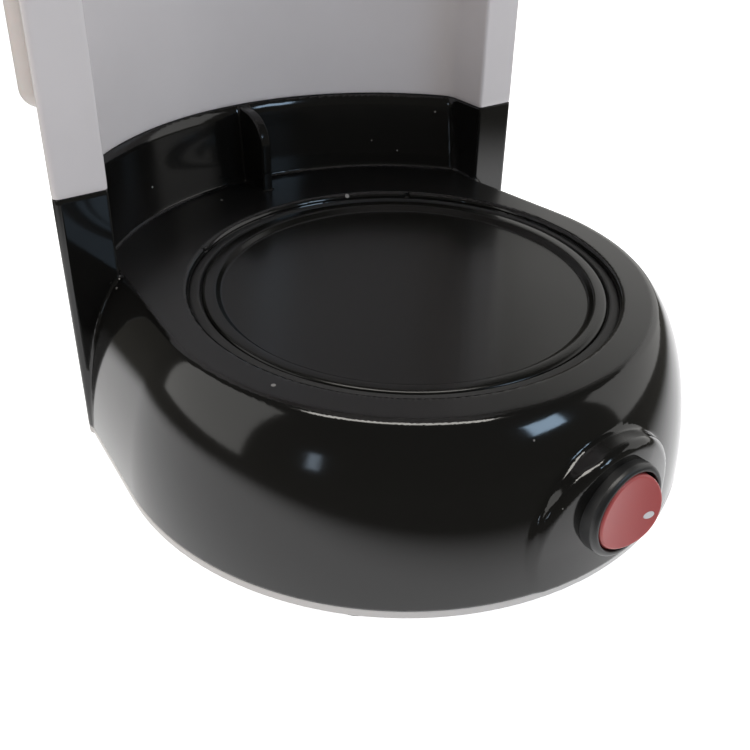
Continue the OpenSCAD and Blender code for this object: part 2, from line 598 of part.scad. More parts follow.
// heater -------------------------------------------------------------
module heater_pad() translate([-pad_in, 0]) square([pad_in + pad_out, disc_low - pipe_z]);
module heater_u(l) {
  translate([0, 0, pipe_z]) rotate([0, 0, 180]) rotate_extrude(angle = 180, $fn = 96) translate([heater_r, 0]) children();
  both() translate([heater_r, 0, pipe_z]) rotate([90, 0, 0]) mirror([0, 0, 1]) linear_extrude(l) children();
}
module heater_casting() color("silver") placed() difference() {
  union() {
    heater_u(heater_len) circle(r = tube_r);
    heater_u(pad_len) heater_pad();
    both() translate([heater_r, heater_len - 1, pipe_z]) rotate([-90, 0, 0]) cylinder(r = pipe_r, h = pipe_l + 1);
  }
  translate([0, 0, pipe_z]) rotate([0, 0, 180]) rotate_extrude(angle = 180) translate([heater_r, 0]) circle(r = pipe_bore);
  both() translate([heater_r, -0.01, pipe_z]) rotate([-90, 0, 0]) cylinder(r = pipe_bore, h = heater_len + pipe_l + 1);
  both() translate([heater_r - pin_x, pad_len - 3, pin_z]) rotate([-90, 0, 0]) cylinder(r = pin_r, h = 20);
}
module element_pins() color("lightgray") placed() both() translate([heater_r - pin_x, pad_len - 3, pin_z]) rotate([-90, 0, 0]) {
  cylinder(r = pin_r, h = 10);
  translate([-2.4, -0.4, 9]) cube([4.8, 0.8, 8]);
}
module clamp_bar() color("gray") placed() difference() {
  union() {
    translate([-(hole_r + 1), stud_y - 6, bar_z]) cube([2 * hole_r + 2, 12, 1.6]);
    both() translate([hole_r - 1, stud_y - 6, bar_z]) cube([1.6, 12, seat_z - seat_t - bar_z]);
    both() translate([hole_r - 1, stud_y - 6, seat_z - seat_t - 1.6]) cube([4, 12, 1.6]);
    translate([-6, -18, bar_z]) cube([12, 26, 1.6]);
  }
  translate([0, stud_y, bar_z - 1]) cylinder(r = 2.5 + seat_gap, h = 5);
}
module clamp_nut() color("silver") placed() translate([0, stud_y, nut_z]) difference() {
  cylinder(r = 5, h = 4, $fn = 6);
  translate([0, 0, -1]) cylinder(r = 2.5, h = 6);
}
module thermostat() color("tan") placed() translate([0, -10, bar_z + 1.6]) {
  cylinder(r = 6, h = disc_low - bar_z - 1.6 - 3);
  translate([0, 0, disc_low - bar_z - 1.6 - 3]) cylinder(r = 8, h = 3);
  both() translate([5, -1.6, 2]) cube([7, 3.2, 0.8]);
}
module thermal_fuses() color("white") placed() both() translate([heater_r, 22, fuse_z]) rotate([-90, 0, 0]) {
  cylinder(r = 2.4, h = 18);
  translate([0, 0, -3]) cylinder(r = 0.8, h = 24);
}
module fuse_clips() color("silver") placed() both() translate([heater_r - tube_r - 1, 28, fuse_z - 3.4]) difference() {
  cube([2 * tube_r + 2, 5, pipe_z - fuse_z + 3.4 + 2]);
  translate([0.95, -1, 1]) cube([2 * tube_r + 0.1, 7, 40]);
}

// electrics ----------------------------------------------------------
module terminal_block() color("wheat") placed() translate([block_x, block_y, block_z]) difference() {
  translate([-16, -8, 0]) cube([32, 16, 10]);
  for (x = [-10, 0, 10]) {
    translate([x, 0, 5]) rotate([90, 0, 0]) cylinder(r = 2, h = 40, center = true);
    for (y = [-4.5, 4.5]) translate([x, y, 5]) cylinder(r = 1.6, h = 10);
  }
}
module seg(a, b) {
  v = b - a;
  translate(a) rotate([0, acos(v[2] / norm(v)), atan2(v[1], v[0])]) cylinder(r = lead_r, h = norm(v), $fn = 24);
}
module wire(p) for (i = [0:len(p) - 2]) {
  seg(p[i], p[i + 1]);
  if (i > 0) translate(p[i]) rotate([20, 35, 0]) sphere(r = lead_r + 0.35, $fn = 24);
}
module leads() color("firebrick") placed() {
  wire([[-5, term_l, switch_z - 6], [-12, term_l + 12, 12], [-13.5, block_y - 14, 12.5], [-10, block_y - 6, block_z + 5]]);
  wire([[6, term_l, switch_z - 2.6], [14, term_l + 12, 14], [22, -8, 14], [24, heater_len + 16, 16], [10, block_y - 14, 16], [10, block_y - 6, block_z + 5]]);
}
module cord_gland() color([0.1, 0.1, 0.1]) placed() translate([0, rear_y - wall, gland_z]) rotate([-90, 0, 0]) difference() {
  union() {
    translate([0, 0, -2 - seat_gap]) cylinder(r = cord_r + gland_w + 1.6, h = 2);
    translate([0, 0, -2 - seat_gap]) cylinder(r = cord_r + gland_w - play, h = wall + 4);
    translate([0, 0, wall]) cylinder(r = cord_r + gland_w + 1.4, h = 2);
  }
  translate([0, 0, -20]) cylinder(r = cord_r, h = 60);
}
module rubber_feet() color([0.15, 0.15, 0.15]) placed() at(foot_at) {
  cylinder(r = foot_r, h = foot_h);
  cylinder(r = 3, h = foot_h + cover_t + 1);
}
module cover_screws() color("silver") placed() at(screw_at) translate([0, 0, cover_z]) {
  cylinder(r1 = 3, r2 = screw_r, h = 1.4);
  cylinder(r = screw_r, h = 10);
}
module tower_screws() color("silver") placed() at(tower_screw_at) translate([0, 0, seam_z - 12]) {
  translate([0, 0, -1.6]) cylinder(r = 2.8, h = 1.6);
  translate([0, 0, -1.6]) cylinder(r = screw_r, h = 9);
}

// head, lid and holder ---------------------------------------------------
module head_housing() color("white") placed() difference() {
  union() {
    difference() {
      translate([0, 0, tower_z]) linear_extrude(head_h) head_plan(0);
      translate([0, 0, tower_z + head_t]) linear_extrude(head_h) head_plan(-wall);
      // opening over the tank
      translate([0, 0, tower_z - 1]) linear_extrude(10) difference() {
        tower_plan(-wall - tank_gap);
        circle(r = tower_r + wall + 1, $fn = 96);
        translate([-200, -200]) square([400, 200 + front_y + 20]);
      }
    }
    translate([-pivot_x, pivot_y, tower_z]) cylinder(r = barrel_r, h = 6);
    both() translate([hinge_x - 4, rear_y - wall, hinge_z]) difference() {
      union() {
        rotate([0, 90, 0]) translate([0, hinge_out + wall, 0]) cylinder(r = hinge_r, h = 5);
        translate([0, 0, -hinge_r - 4]) cube([5, hinge_out + wall, hinge_r + 4]);
        translate([0, wall / 2, -head_h + 1]) cube([5, hinge_out + wall / 2, head_h - 1 - hinge_r + 1]);
      }
      translate([-1, hinge_out + wall, 0]) rotate([0, 90, 0]) cylinder(r = hinge_pin_r + play, h = 10);
    }
  }
  translate([0, 0, tower_z - 1]) cylinder(r = 12, h = 10);
  translate([-pivot_x, pivot_y, tower_z - 1]) cylinder(r = pivot_r + play, h = 5);
  both() translate([tower_screw_at[1][0], tower_screw_at[1][1], tower_z - 1]) cylinder(r = screw_r + seat_gap, h = 6);
}
module reservoir_lid() color("white") placed() difference() {
  union() {
    difference() {
      union() {
        translate([0, 0, head_z]) linear_extrude(lid_h) head_plan(0);
        translate([0, 0, head_z + lid_h - 0.01]) linear_extrude(lid_crown / 2) head_plan(-3);
      }
      translate([0, 0, head_z - 1]) linear_extrude(lid_h - wall + 1) head_plan(-wall);
      both() translate([hinge_x - 4 - 0.6, rear_y - wall - 0.6, head_z - 1]) cube([6.2, 20, hinge_r + 3.5]);
    }
    both() translate([hinge_x - 4 - 5.4, 0, 0]) {
      translate([0, hinge_y, hinge_z]) rotate([0, 90, 0]) cylinder(r = hinge_r, h = 4.8);
      translate([0, rear_y - wall / 2, hinge_z - 1 + 0.4]) cube([4.8, hinge_out + wall / 2, hinge_r + 0.6]);
    }
    translate([-12, -head_r - 5, head_z + lid_h - 4]) cube([24, 8, 3]);
  }
  both() translate([hinge_x - 4 - 6, hinge_y, hinge_z]) rotate([0, 90, 0]) cylinder(r = hinge_pin_r, h = 6);
}
module lid_pin() color("silver") placed() both() translate([hinge_x - 4 - 5.4, hinge_y, hinge_z]) rotate([0, 90, 0]) cylinder(r = hinge_pin_r, h = 5.4 + 5);

module cup(r, z0, z1, zf, rf) rotate_extrude($fn = 96) polygon([[0, zf], [rf, zf], [r, z0], [r, z1], [0, z1]]);
module filter_holder() color("white") placed() difference() {
  union() {
    difference() {
      cup(cup_r, cup_z, cup_top, funnel_z, funnel_r + 0.6);
      rotate_extrude($fn = 96) polygon([[0, funnel_z + cup_w * 1.4], [funnel_r + 0.6, funnel_z + cup_w * 1.4],
        [cup_r - cup_w, cup_z + cup_w * 0.7], [cup_r - cup_w, cup_top + 1], [0, cup_top + 1]]);
    }
    translate([0, 0, outlet_z]) cylinder(r = outlet_r, h = outlet_h + 1.5);
    translate([0, 0, funnel_z + 1]) cylinder(r = outlet_r - 0.6, h = 5);
    // barrel and arm at the pivot
    translate([-pivot_x, pivot_y, cup_z - 2.8]) cylinder(r = barrel_r, h = cup_h + 2.8);
    difference() {
      rotate([0, 0, 180 - atan2(pivot_y, pivot_x)]) translate([cup_r - 8, -4, cup_z + 1.5]) cube([norm([pivot_x, pivot_y]) - cup_r + 8, 8, cup_h - 3]);
      translate([0, 0, cup_z - 1]) cylinder(r = cup_r - cup_w / 2, h = cup_h + 2, $fn = 96);
    }
    // handle
    difference() {
      translate([-handle_w / 2, -cup_r - handle_l, cup_top - 16]) cube([handle_w, handle_l + 8, 4]);
      cylinder(r = cup_r - cup_w / 2, h = 400);
    }
  }
  translate([-pivot_x, pivot_y, cup_z - 10]) cylinder(r = pivot_r + play, h = cup_h + 20);
  translate([0, 0, outlet_z - 1]) cylinder(r = stem_r + play, h = 60);
  translate([0, 0, outlet_z - 1]) cylinder(r = spring_r + 0.5, h = spring_room + 1);
  for (a = [0:60:300]) rotate([0, 0, a]) translate([stem_r + 1.6, 0, outlet_z - 1]) cylinder(r = 1, h = 60);
}
module pivot_pin() color("silver") placed() translate([-pivot_x, pivot_y, lug_z + 1]) cylinder(r = pivot_r, h = tower_z + 4 - lug_z - 1);
module filter_basket() color([0.25, 0.25, 0.25]) placed() difference() {
  union() {
    rotate_extrude($fn = 96) difference() {
      polygon([[0, cup_z + 3], [34, cup_z + 3], [50, basket_top - 3], [cup_r - cup_w - 0.4, basket_top - 3], [cup_r - cup_w - 0.4, basket_top],
        [48.5, basket_top], [48.5, basket_top - 1.5], [33, cup_z + 3 + cup_w], [0, cup_z + 3 + cup_w]]);
    }
    // foot ring that stands on the funnel
    translate([0, 0, cup_z - 5]) rotate_extrude($fn = 96) translate([30, 0]) square([2, 8.5]);
    for (n = [0:15]) rotate([0, 0, n * 22.5]) translate([33.5, -0.6, cup_z + 5]) rotate([0, -70, 0]) translate([0, 0, -1.5]) cube([34, 1.2, 1.6]);
  }
  for (n = [0:5]) rotate([0, 0, n * 60]) translate([14, 0, cup_z]) cylinder(r = 2, h = 10);
  translate([0, 0, cup_z]) cylinder(r = 2, h = 10);
  rotate_extrude($fn = 96) polygon([[cup_r - cup_w - 0.4, 0], [200, 0], [200, 400], [cup_r - cup_w - 0.4, 400]]);
  rotate_extrude($fn = 96) polygon([[0, funnel_z + cup_w * 1.4 - 20], [funnel_r, funnel_z + cup_w * 1.4 - 20], [funnel_r, funnel_z + cup_w * 1.4],
    [cup_r - cup_w, cup_z + cup_w * 0.7], [cup_r, 0]]);
}
module valve_stem() color("ivory") placed() {
  translate([0, 0, outlet_z - valve_stroke - 2]) cylinder(r = 6.5, h = 2);
  translate([0, 0, outlet_z - valve_stroke - 1]) cylinder(r = stem_r, h = stem_top - outlet_z + valve_stroke + 1);
  translate([0, 0, stem_top]) cylinder(r = 4.6, h = 1.6);
}
module valve_seal() color([0.3, 0.3, 0.3]) placed() translate([0, 0, funnel_z + 6]) difference() {
  cylinder(r = 5.6, h = 1.6);
  translate([0, 0, -1]) cylinder(r = stem_r, h = 4);
}
// coil of flat wire between the stem's flange and the top of its room
module valve_spring() color("silver") placed() translate([0, 0, outlet_z - valve_stroke + 0.02])
  linear_extrude(valve_stroke + spring_room - 0.04, twist = -360 * spring_n, slices = 15 * spring_n)
    polygon(concat([for (k = [0:4]) spring_r * [cos(k * 27), sin(k * 27)]], [for (k = [4:-1:0]) (spring_r - 0.9) * [cos(k * 27), sin(k * 27)]]));

base_housing();
base_cover();
tower_housing();
warming_plate();
plate_gasket();
switch_body();
rocker();
rocker_dot();
switch_lamp();
switch_terminals();
level_gauge();
tank();
reservoir_lid();
lid_pin();
head_housing();
filter_holder();
pivot_pin();
filter_basket();
valve_stem();
valve_spring();
valve_seal();
spray_head();
spout_arm();
riser_tube();
riser_grommet();
cold_hose();
hot_hose();
hose_clamps();
check_valve();
check_ball();
heater_casting();
element_pins();
clamp_bar();
clamp_nut();
thermostat();
thermal_fuses();
fuse_clips();
terminal_block();
leads();
cord_gland();
rubber_feet();
cover_screws();
tower_screws();
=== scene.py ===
import bpy
import bmesh
import math
import numpy as np
from mathutils import Matrix, Vector


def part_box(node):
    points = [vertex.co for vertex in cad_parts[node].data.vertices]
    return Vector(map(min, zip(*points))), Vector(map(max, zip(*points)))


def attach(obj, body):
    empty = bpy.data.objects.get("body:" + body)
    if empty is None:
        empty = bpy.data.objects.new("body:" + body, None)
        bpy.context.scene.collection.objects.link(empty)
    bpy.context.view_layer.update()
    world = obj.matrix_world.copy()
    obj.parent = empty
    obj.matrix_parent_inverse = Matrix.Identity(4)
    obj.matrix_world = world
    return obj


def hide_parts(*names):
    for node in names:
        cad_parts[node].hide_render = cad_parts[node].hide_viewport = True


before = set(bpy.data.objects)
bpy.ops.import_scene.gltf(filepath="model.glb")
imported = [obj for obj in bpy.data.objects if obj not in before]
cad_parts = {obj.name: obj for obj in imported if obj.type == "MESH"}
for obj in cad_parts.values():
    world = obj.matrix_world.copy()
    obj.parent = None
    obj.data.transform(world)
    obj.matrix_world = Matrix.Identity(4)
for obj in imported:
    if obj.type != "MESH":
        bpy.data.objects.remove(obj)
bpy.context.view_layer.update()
plateLow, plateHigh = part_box("plate_gasket")
plateY = (plateLow.y + plateHigh.y) / 2  # the plate's centre, in m; lengths below are in mm from it
mm = 0.001
scene = bpy.context.scene

camera = {"place": (-129.49, -156.53, 147.01), "right": (0.76439, -0.64262, 0.05240),
          "up": (0.30162, 0.42823, 0.85185), "lens": 46.43, "sensor": 36, "clip": (0.01, 20),
          "shiftX": -0.0827, "shiftY": -0.0387}


def toRow(x, y, z):
    return Vector((x * mm, y * mm + plateY, z * mm))


def addCamera():
    data = bpy.data.cameras.new("camera")
    data.lens, data.sensor_width = camera["lens"], camera["sensor"]
    data.shift_x, data.shift_y = camera["shiftX"], camera["shiftY"]
    data.clip_start, data.clip_end = camera["clip"]
    obj = bpy.data.objects.new("camera", data)
    right = Vector(camera["right"]).normalized()
    up = Vector(camera["up"])
    up = (up - right * up.dot(right)).normalized()
    turn = Matrix((right, up, right.cross(up))).transposed().to_4x4()
    obj.matrix_world = Matrix.Translation(toRow(*camera["place"])) @ turn
    scene.collection.objects.link(obj)
    scene.camera = obj


def newMaterial(name):
    mat = bpy.data.materials.new(name)
    mat.use_nodes = True
    tree = mat.node_tree
    tree.nodes.clear()
    out = tree.nodes.new("ShaderNodeOutputMaterial")
    return mat, tree, out


def addNode(tree, kind, **values):  # a value goes to the node's setting or to the input of that name
    node = tree.nodes.new(kind)
    for key, value in values.items():
        if hasattr(node, key):
            setattr(node, key, value)
        else:
            node.inputs[key.replace("_", " ")].default_value = value
    return node


def mixShader(tree, share, first, second):
    mix = addNode(tree, "ShaderNodeMixShader")
    tree.links.new(share, mix.inputs[0])
    tree.links.new(first.outputs[0], mix.inputs[1])
    tree.links.new(second.outputs[0], mix.inputs[2])
    return mix


lightsAim = (0, 0, 40)
lights = {  # place in mm from the plate's centre, size in mm, power in W
    "window": {"place": (310, -880, 500), "size": (260, 200), "power": 1.25, "tint": (0.62, 0.85, 1.1)},
    "pane": {"place": (-880, -330, 190), "size": (70, 150), "power": 0.12, "tint": (0.70, 0.86, 1.05)},
    "left wall": {"place": (-850, 420, 330), "size": (760, 900), "power": 2.9, "tint": (1.0, 0.99, 0.96)},
    "right wall": {"place": (980, -20, 330), "size": (1850, 800), "power": 5.0, "tint": (1.0, 0.99, 0.97)},
    "ceiling lamp": {"place": (-170, -200, 1000), "size": (900, 280), "power": 7.5, "tint": (1.0, 0.97, 0.91),
                     "diffuse": False},  # only seen in shiny parts
}
room = {"light": (0.47, 0.45, 0.445, 1), "backdrop": (1, 1, 1, 1),
        "mirrored": ((0.02, (0.11, 0.105, 0.09, 1)), (0.9, (0.09, 0.088, 0.08, 1)))}  # seen in shiny parts
floor = {"radius": 3.0, "sides": 64, "paper": (0.86, 0.86, 0.86, 1), "glow": 1.0,
         "beyond": (0.12, 0.115, 0.10, 1),  # what shiny parts see past the table's edge
         "stretch": (0.55, 0.95, 1.0), "fade": (0.088, 0.15)}


def addLights():
    for name, value in lights.items():
        data = bpy.data.lights.new(name, "AREA")
        data.shape, data.size, data.size_y = "RECTANGLE", value["size"][0] * mm, value["size"][1] * mm
        data.energy, data.color = value["power"], value["tint"]
        obj = bpy.data.objects.new(name, data)
        obj.location = toRow(*value["place"])
        obj.rotation_mode = "QUATERNION"
        obj.rotation_quaternion = (toRow(*lightsAim) - obj.location).to_track_quat("-Z", "Y")
        scene.collection.objects.link(obj)
        obj.visible_diffuse = value.get("diffuse", True)


def addRoom():
    world = bpy.data.worlds.new("room")
    scene.world = world
    world.use_nodes = True
    tree = world.node_tree
    tree.nodes.clear()
    out = addNode(tree, "ShaderNodeOutputWorld")
    light = addNode(tree, "ShaderNodeBackground", Color=room["light"], Strength=1.0)
    backdrop = addNode(tree, "ShaderNodeBackground", Color=room["backdrop"], Strength=1.0)
    mirrored = addNode(tree, "ShaderNodeBackground", Strength=1.0)
    place = addNode(tree, "ShaderNodeTexCoord")
    split = addNode(tree, "ShaderNodeSeparateXYZ")
    ramp = addNode(tree, "ShaderNodeValToRGB")
    for stop, (position, color) in zip(ramp.color_ramp.elements, room["mirrored"]):
        stop.position, stop.color = position, color
    tree.links.new(place.outputs["Generated"], split.inputs[0])
    tree.links.new(split.outputs["Z"], ramp.inputs["Fac"])
    tree.links.new(ramp.outputs["Color"], mirrored.inputs["Color"])
    path = addNode(tree, "ShaderNodeLightPath")
    glossy = mixShader(tree, path.outputs["Is Glossy Ray"], light, mirrored)
    mix = mixShader(tree, path.outputs["Is Camera Ray"], glossy, backdrop)
    tree.links.new(mix.outputs[0], out.inputs["Surface"])
    scene.view_settings.view_transform = "Standard"


def addFloor():
    mesh = bpy.data.meshes.new("floor")
    bm = bmesh.new()
    bmesh.ops.create_circle(bm, cap_ends=True, radius=floor["radius"], segments=floor["sides"])
    bm.to_mesh(mesh)
    bm.free()
    obj = bpy.data.objects.new("floor", mesh)
    scene.collection.objects.link(obj)
    mat, tree, out = newMaterial("floor paper")
    paper = addNode(tree, "ShaderNodeBsdfDiffuse", Color=floor["paper"])
    glow = addNode(tree, "ShaderNodeEmission", Color=(1, 1, 1, 1), Strength=floor["glow"])
    both = addNode(tree, "ShaderNodeAddShader")
    tree.links.new(paper.outputs[0], both.inputs[0])
    tree.links.new(glow.outputs[0], both.inputs[1])
    beyond = addNode(tree, "ShaderNodeEmission", Color=floor["beyond"])
    spot = addNode(tree, "ShaderNodeTexCoord")
    squash = addNode(tree, "ShaderNodeVectorMath", operation="MULTIPLY")
    squash.inputs[1].default_value = floor["stretch"]
    reach = addNode(tree, "ShaderNodeVectorMath", operation="LENGTH")
    edge = addNode(tree, "ShaderNodeMapRange", interpolation_type="SMOOTHSTEP")
    edge.inputs["From Min"].default_value, edge.inputs["From Max"].default_value = floor["fade"]
    tree.links.new(spot.outputs["Object"], squash.inputs[0])
    tree.links.new(squash.outputs[0], reach.inputs[0])
    tree.links.new(reach.outputs["Value"], edge.inputs["Value"])
    table = mixShader(tree, edge.outputs[0], both, beyond)
    path = addNode(tree, "ShaderNodeLightPath")
    glossy = mixShader(tree, path.outputs["Is Glossy Ray"], both, table)
    mix = mixShader(tree, path.outputs["Is Diffuse Ray"], glossy, paper)
    tree.links.new(mix.outputs[0], out.inputs["Surface"])
    mesh.materials.append(mat)


addCamera()
addLights()
addRoom()
addFloor()
print("camera, lights and floor are in")


def newGroup(name, inputs, outputs):
    group = bpy.data.node_groups.new(name, "ShaderNodeTree")
    for key, value in inputs.items():
        socket = group.interface.new_socket(name=key, in_out="INPUT", socket_type="NodeSocketFloat")
        socket.default_value = value
    for key in outputs:
        group.interface.new_socket(name=key, in_out="OUTPUT", socket_type="NodeSocketFloat")
    return group, group.nodes.new("NodeGroupInput"), group.nodes.new("NodeGroupOutput")


def math2(tree, kind, a, b, clamp=False):
    node = tree.nodes.new("ShaderNodeMath")
    node.operation, node.use_clamp = kind, clamp
    for slot, value in ((0, a), (1, b)):
        if hasattr(value, "is_output"):
            tree.links.new(value, node.inputs[slot])
        else:
            node.inputs[slot].default_value = value
    return node.outputs[0]


def makeMouldGroup():  # slow waviness and fine grain of a moulded skin
    inputs = {"Grain Size": 900.0, "Wave Size": 40.0, "Wave Share": 0.5, "Rough": 0.2, "Rough Spread": 0.05}
    group, ins, outs = newGroup("mouldSkin", inputs, ("Height", "Roughness", "Tone"))
    place = group.nodes.new("ShaderNodeTexCoord")
    grain = addNode(group, "ShaderNodeTexNoise", Detail=2.0)
    wave = addNode(group, "ShaderNodeTexNoise", Detail=1.0)
    smear = addNode(group, "ShaderNodeTexNoise", Scale=22, Detail=4.0, Roughness=0.6)
    for node in (grain, wave, smear):
        group.links.new(place.outputs["Object"], node.inputs["Vector"])
    group.links.new(ins.outputs["Grain Size"], grain.inputs["Scale"])
    group.links.new(ins.outputs["Wave Size"], wave.inputs["Scale"])
    share = ins.outputs["Wave Share"]
    waves = math2(group, "MULTIPLY", wave.outputs[0], share)
    grains = math2(group, "MULTIPLY", grain.outputs[0], math2(group, "SUBTRACT", 1.0, share))
    group.links.new(math2(group, "ADD", waves, grains), outs.inputs["Height"])
    swing = math2(group, "SUBTRACT", smear.outputs[0], 0.5)
    spread = math2(group, "MULTIPLY", swing, ins.outputs["Rough Spread"])
    group.links.new(math2(group, "ADD", ins.outputs["Rough"], spread, True), outs.inputs["Roughness"])
    group.links.new(smear.outputs[0], outs.inputs["Tone"])
    return group


def makeDustGroup():  # sparse pale specks and lint on dark parts
    inputs = {"Spacing": 60.0, "Speck": 0.05, "Amount": 0.1}
    smallest = 0.3  # added to a random 0 to 1, so that no speck is smaller than this share
    group, ins, outs = newGroup("dustSpecks", inputs, ("Mask",))
    place = group.nodes.new("ShaderNodeTexCoord")
    cells = addNode(group, "ShaderNodeTexVoronoi")
    group.links.new(place.outputs["Object"], cells.inputs["Vector"])
    group.links.new(ins.outputs["Spacing"], cells.inputs["Scale"])
    pick = group.nodes.new("ShaderNodeSeparateColor")
    group.links.new(cells.outputs["Color"], pick.inputs[0])
    rare = math2(group, "LESS_THAN", pick.outputs[0], ins.outputs["Amount"])
    size = math2(group, "MULTIPLY", ins.outputs["Speck"], math2(group, "ADD", pick.outputs[1], smallest))
    near = math2(group, "LESS_THAN", cells.outputs["Distance"], size)
    group.links.new(math2(group, "MULTIPLY", near, rare), outs.inputs["Mask"])
    return group


mouldGroup = makeMouldGroup()
dustGroup = makeDustGroup()

finishes = {  # base colour, roughness and its spread, grain, bump with its depth in m, and extras
    "gloss black": {"color": (0.0065, 0.0063, 0.0058), "rough": 0.1, "spread": 0.05,
                    "grain": 700, "wave": 45, "share": 0.75, "bump": 0.02, "depth": 0.00006,
                    "dust": (120, 0.06, 0.4), "film": 0.2, "slot": "black_gloss"},
    "plate coat": {"color": (0.006, 0.0059, 0.0048), "rough": 0.2, "shine": 0.3, "spread": 0.05,
                   "grain": 1500, "wave": 60, "share": 0.35, "bump": 0.1, "depth": 0.00005,
                   "dust": (110, 0.06, 0.45), "slot": "black_coat"},
    "white shell": {"color": (0.86, 0.82, 0.815), "rough": 0.24, "spread": 0.06,
                    "grain": 800, "wave": 30, "share": 0.6, "bump": 0.03, "depth": 0.00008,
                    "slot": "white"},
    "ivory rim": {"color": (0.80, 0.775, 0.75), "rough": 0.42, "spread": 0.08,
                  "grain": 900, "wave": 60, "share": 0.4, "bump": 0.06, "depth": 0.00006, "slot": "ivory"},
    "satin black": {"color": (0.014, 0.0145, 0.015), "rough": 0.4, "spread": 0.08,
                    "grain": 1600, "wave": 120, "share": 0.3, "bump": 0.12, "depth": 0.00006,
                    "slot": "black_satin"},
    "lamp red": {"color": (0.5, 0.085, 0.082), "rough": 0.42, "spread": 0.06,
                 "grain": 1200, "wave": 200, "share": 0.5, "bump": 0.04, "depth": 0.00005, "coat": 0.12,
                 "inner": 0.25, "slot": "red"},
    "print white": {"color": (0.86, 0.84, 0.84), "rough": 0.35, "spread": 0.05,
                    "grain": 2500, "wave": 300, "share": 0.4, "bump": 0.05, "depth": 0.00004,
                    "slot": "white_print"},
    "gauge cream": {"color": (0.82, 0.76, 0.72), "rough": 0.3, "spread": 0.06,
                    "grain": 700, "wave": 60, "share": 0.6, "bump": 0.04, "depth": 0.00008, "inner": 0.1,
                    "slot": "cream"},
    "dull rubber": {"color": (0.02, 0.02, 0.02), "rough": 0.62, "spread": 0.12,
                    "grain": 1800, "wave": 150, "share": 0.3, "bump": 0.2, "depth": 0.00008,
                    "slot": "dark_rubber"},
    "dark plastic": {"color": (0.05, 0.05, 0.052), "rough": 0.42, "spread": 0.1,
                     "grain": 1200, "wave": 80, "share": 0.4, "bump": 0.1, "depth": 0.00008,
                     "slot": "dark_plastic"},
    "ivory plastic": {"color": (0.78, 0.74, 0.66), "rough": 0.4, "spread": 0.08,
                      "grain": 1000, "wave": 80, "share": 0.4, "bump": 0.06, "depth": 0.00006,
                      "slot": "ivory"},
    "milky silicone": {"color": (0.66, 0.65, 0.61), "rough": 0.45, "spread": 0.1,
                       "grain": 900, "wave": 80, "share": 0.5, "bump": 0.08, "depth": 0.00008, "inner": 0.2,
                       "slot": "silicone"},
    "clear tank": {"color": (0.82, 0.87, 0.88), "rough": 0.18, "spread": 0.05,
                   "grain": 500, "wave": 30, "share": 0.7, "bump": 0.03, "depth": 0.0001, "clear": 0.6,
                   "slot": "clear"},
    "lamp glass": {"color": (0.9, 0.42, 0.2), "rough": 0.08, "spread": 0.02,
                   "grain": 900, "wave": 90, "share": 0.5, "bump": 0.02, "depth": 0.00005, "clear": 0.7,
                   "slot": "amber"},
    "zinc steel": {"color": (0.60, 0.60, 0.61), "rough": 0.3, "spread": 0.14,
                   "grain": 1400, "wave": 140, "share": 0.3, "bump": 0.1, "depth": 0.00006, "metal": 1.0,
                   "slot": "steel"},
    "tinned brass": {"color": (0.70, 0.69, 0.66), "rough": 0.22, "spread": 0.12,
                     "grain": 1600, "wave": 160, "share": 0.3, "bump": 0.08, "depth": 0.00004, "metal": 1.0,
                     "slot": "tinned"},
    "cast aluminium": {"color": (0.62, 0.62, 0.63), "rough": 0.48, "spread": 0.16,
                       "grain": 700, "wave": 90, "share": 0.4, "bump": 0.35, "depth": 0.00015, "metal": 1.0,
                       "slot": "aluminium"},
    "fired ceramic": {"color": (0.74, 0.70, 0.61), "rough": 0.5, "spread": 0.1,
                      "grain": 1300, "wave": 100, "share": 0.4, "bump": 0.2, "depth": 0.00008,
                      "slot": "ceramic"},
    "natural nylon": {"color": (0.72, 0.66, 0.50), "rough": 0.38, "spread": 0.08,
                      "grain": 1000, "wave": 90, "share": 0.4, "bump": 0.08, "depth": 0.00006,
                      "slot": "wheat"},
    "wire red": {"color": (0.40, 0.06, 0.045), "rough": 0.4, "spread": 0.08,
                 "grain": 1500, "wave": 120, "share": 0.4, "bump": 0.1, "depth": 0.00006,
                 "slot": "lead_red"},
}
skinRules = {"ior": 1.5, "coatRough": 0.06, "innerDepth": 0.002, "tones": (0.93, 1.07),
             "dustTint": (0.32, 0.31, 0.29, 1), "filmLift": (0.93, 1.0)}
materials = {}


def filmedRough(tree, rough, film):  # level faces carry a thin dust film
    face = tree.nodes.new("ShaderNodeNewGeometry")
    lift = tree.nodes.new("ShaderNodeSeparateXYZ")
    tree.links.new(face.outputs["Normal"], lift.inputs[0])
    level = addNode(tree, "ShaderNodeMapRange", To_Max=film)
    level.inputs["From Min"].default_value, level.inputs["From Max"].default_value = skinRules["filmLift"]
    tree.links.new(lift.outputs["Z"], level.inputs["Value"])
    return math2(tree, "ADD", rough, level.outputs[0])


def dustedColor(tree, color, dusting):
    dust = tree.nodes.new("ShaderNodeGroup")
    dust.node_tree = dustGroup
    for key, number in zip(("Spacing", "Speck", "Amount"), dusting):
        dust.inputs[key].default_value = number
    specks = addNode(tree, "ShaderNodeMix", data_type="RGBA")
    specks.inputs["B"].default_value = skinRules["dustTint"]
    tree.links.new(color, specks.inputs["A"])
    tree.links.new(dust.outputs["Mask"], specks.inputs["Factor"])
    return specks.outputs["Result"]


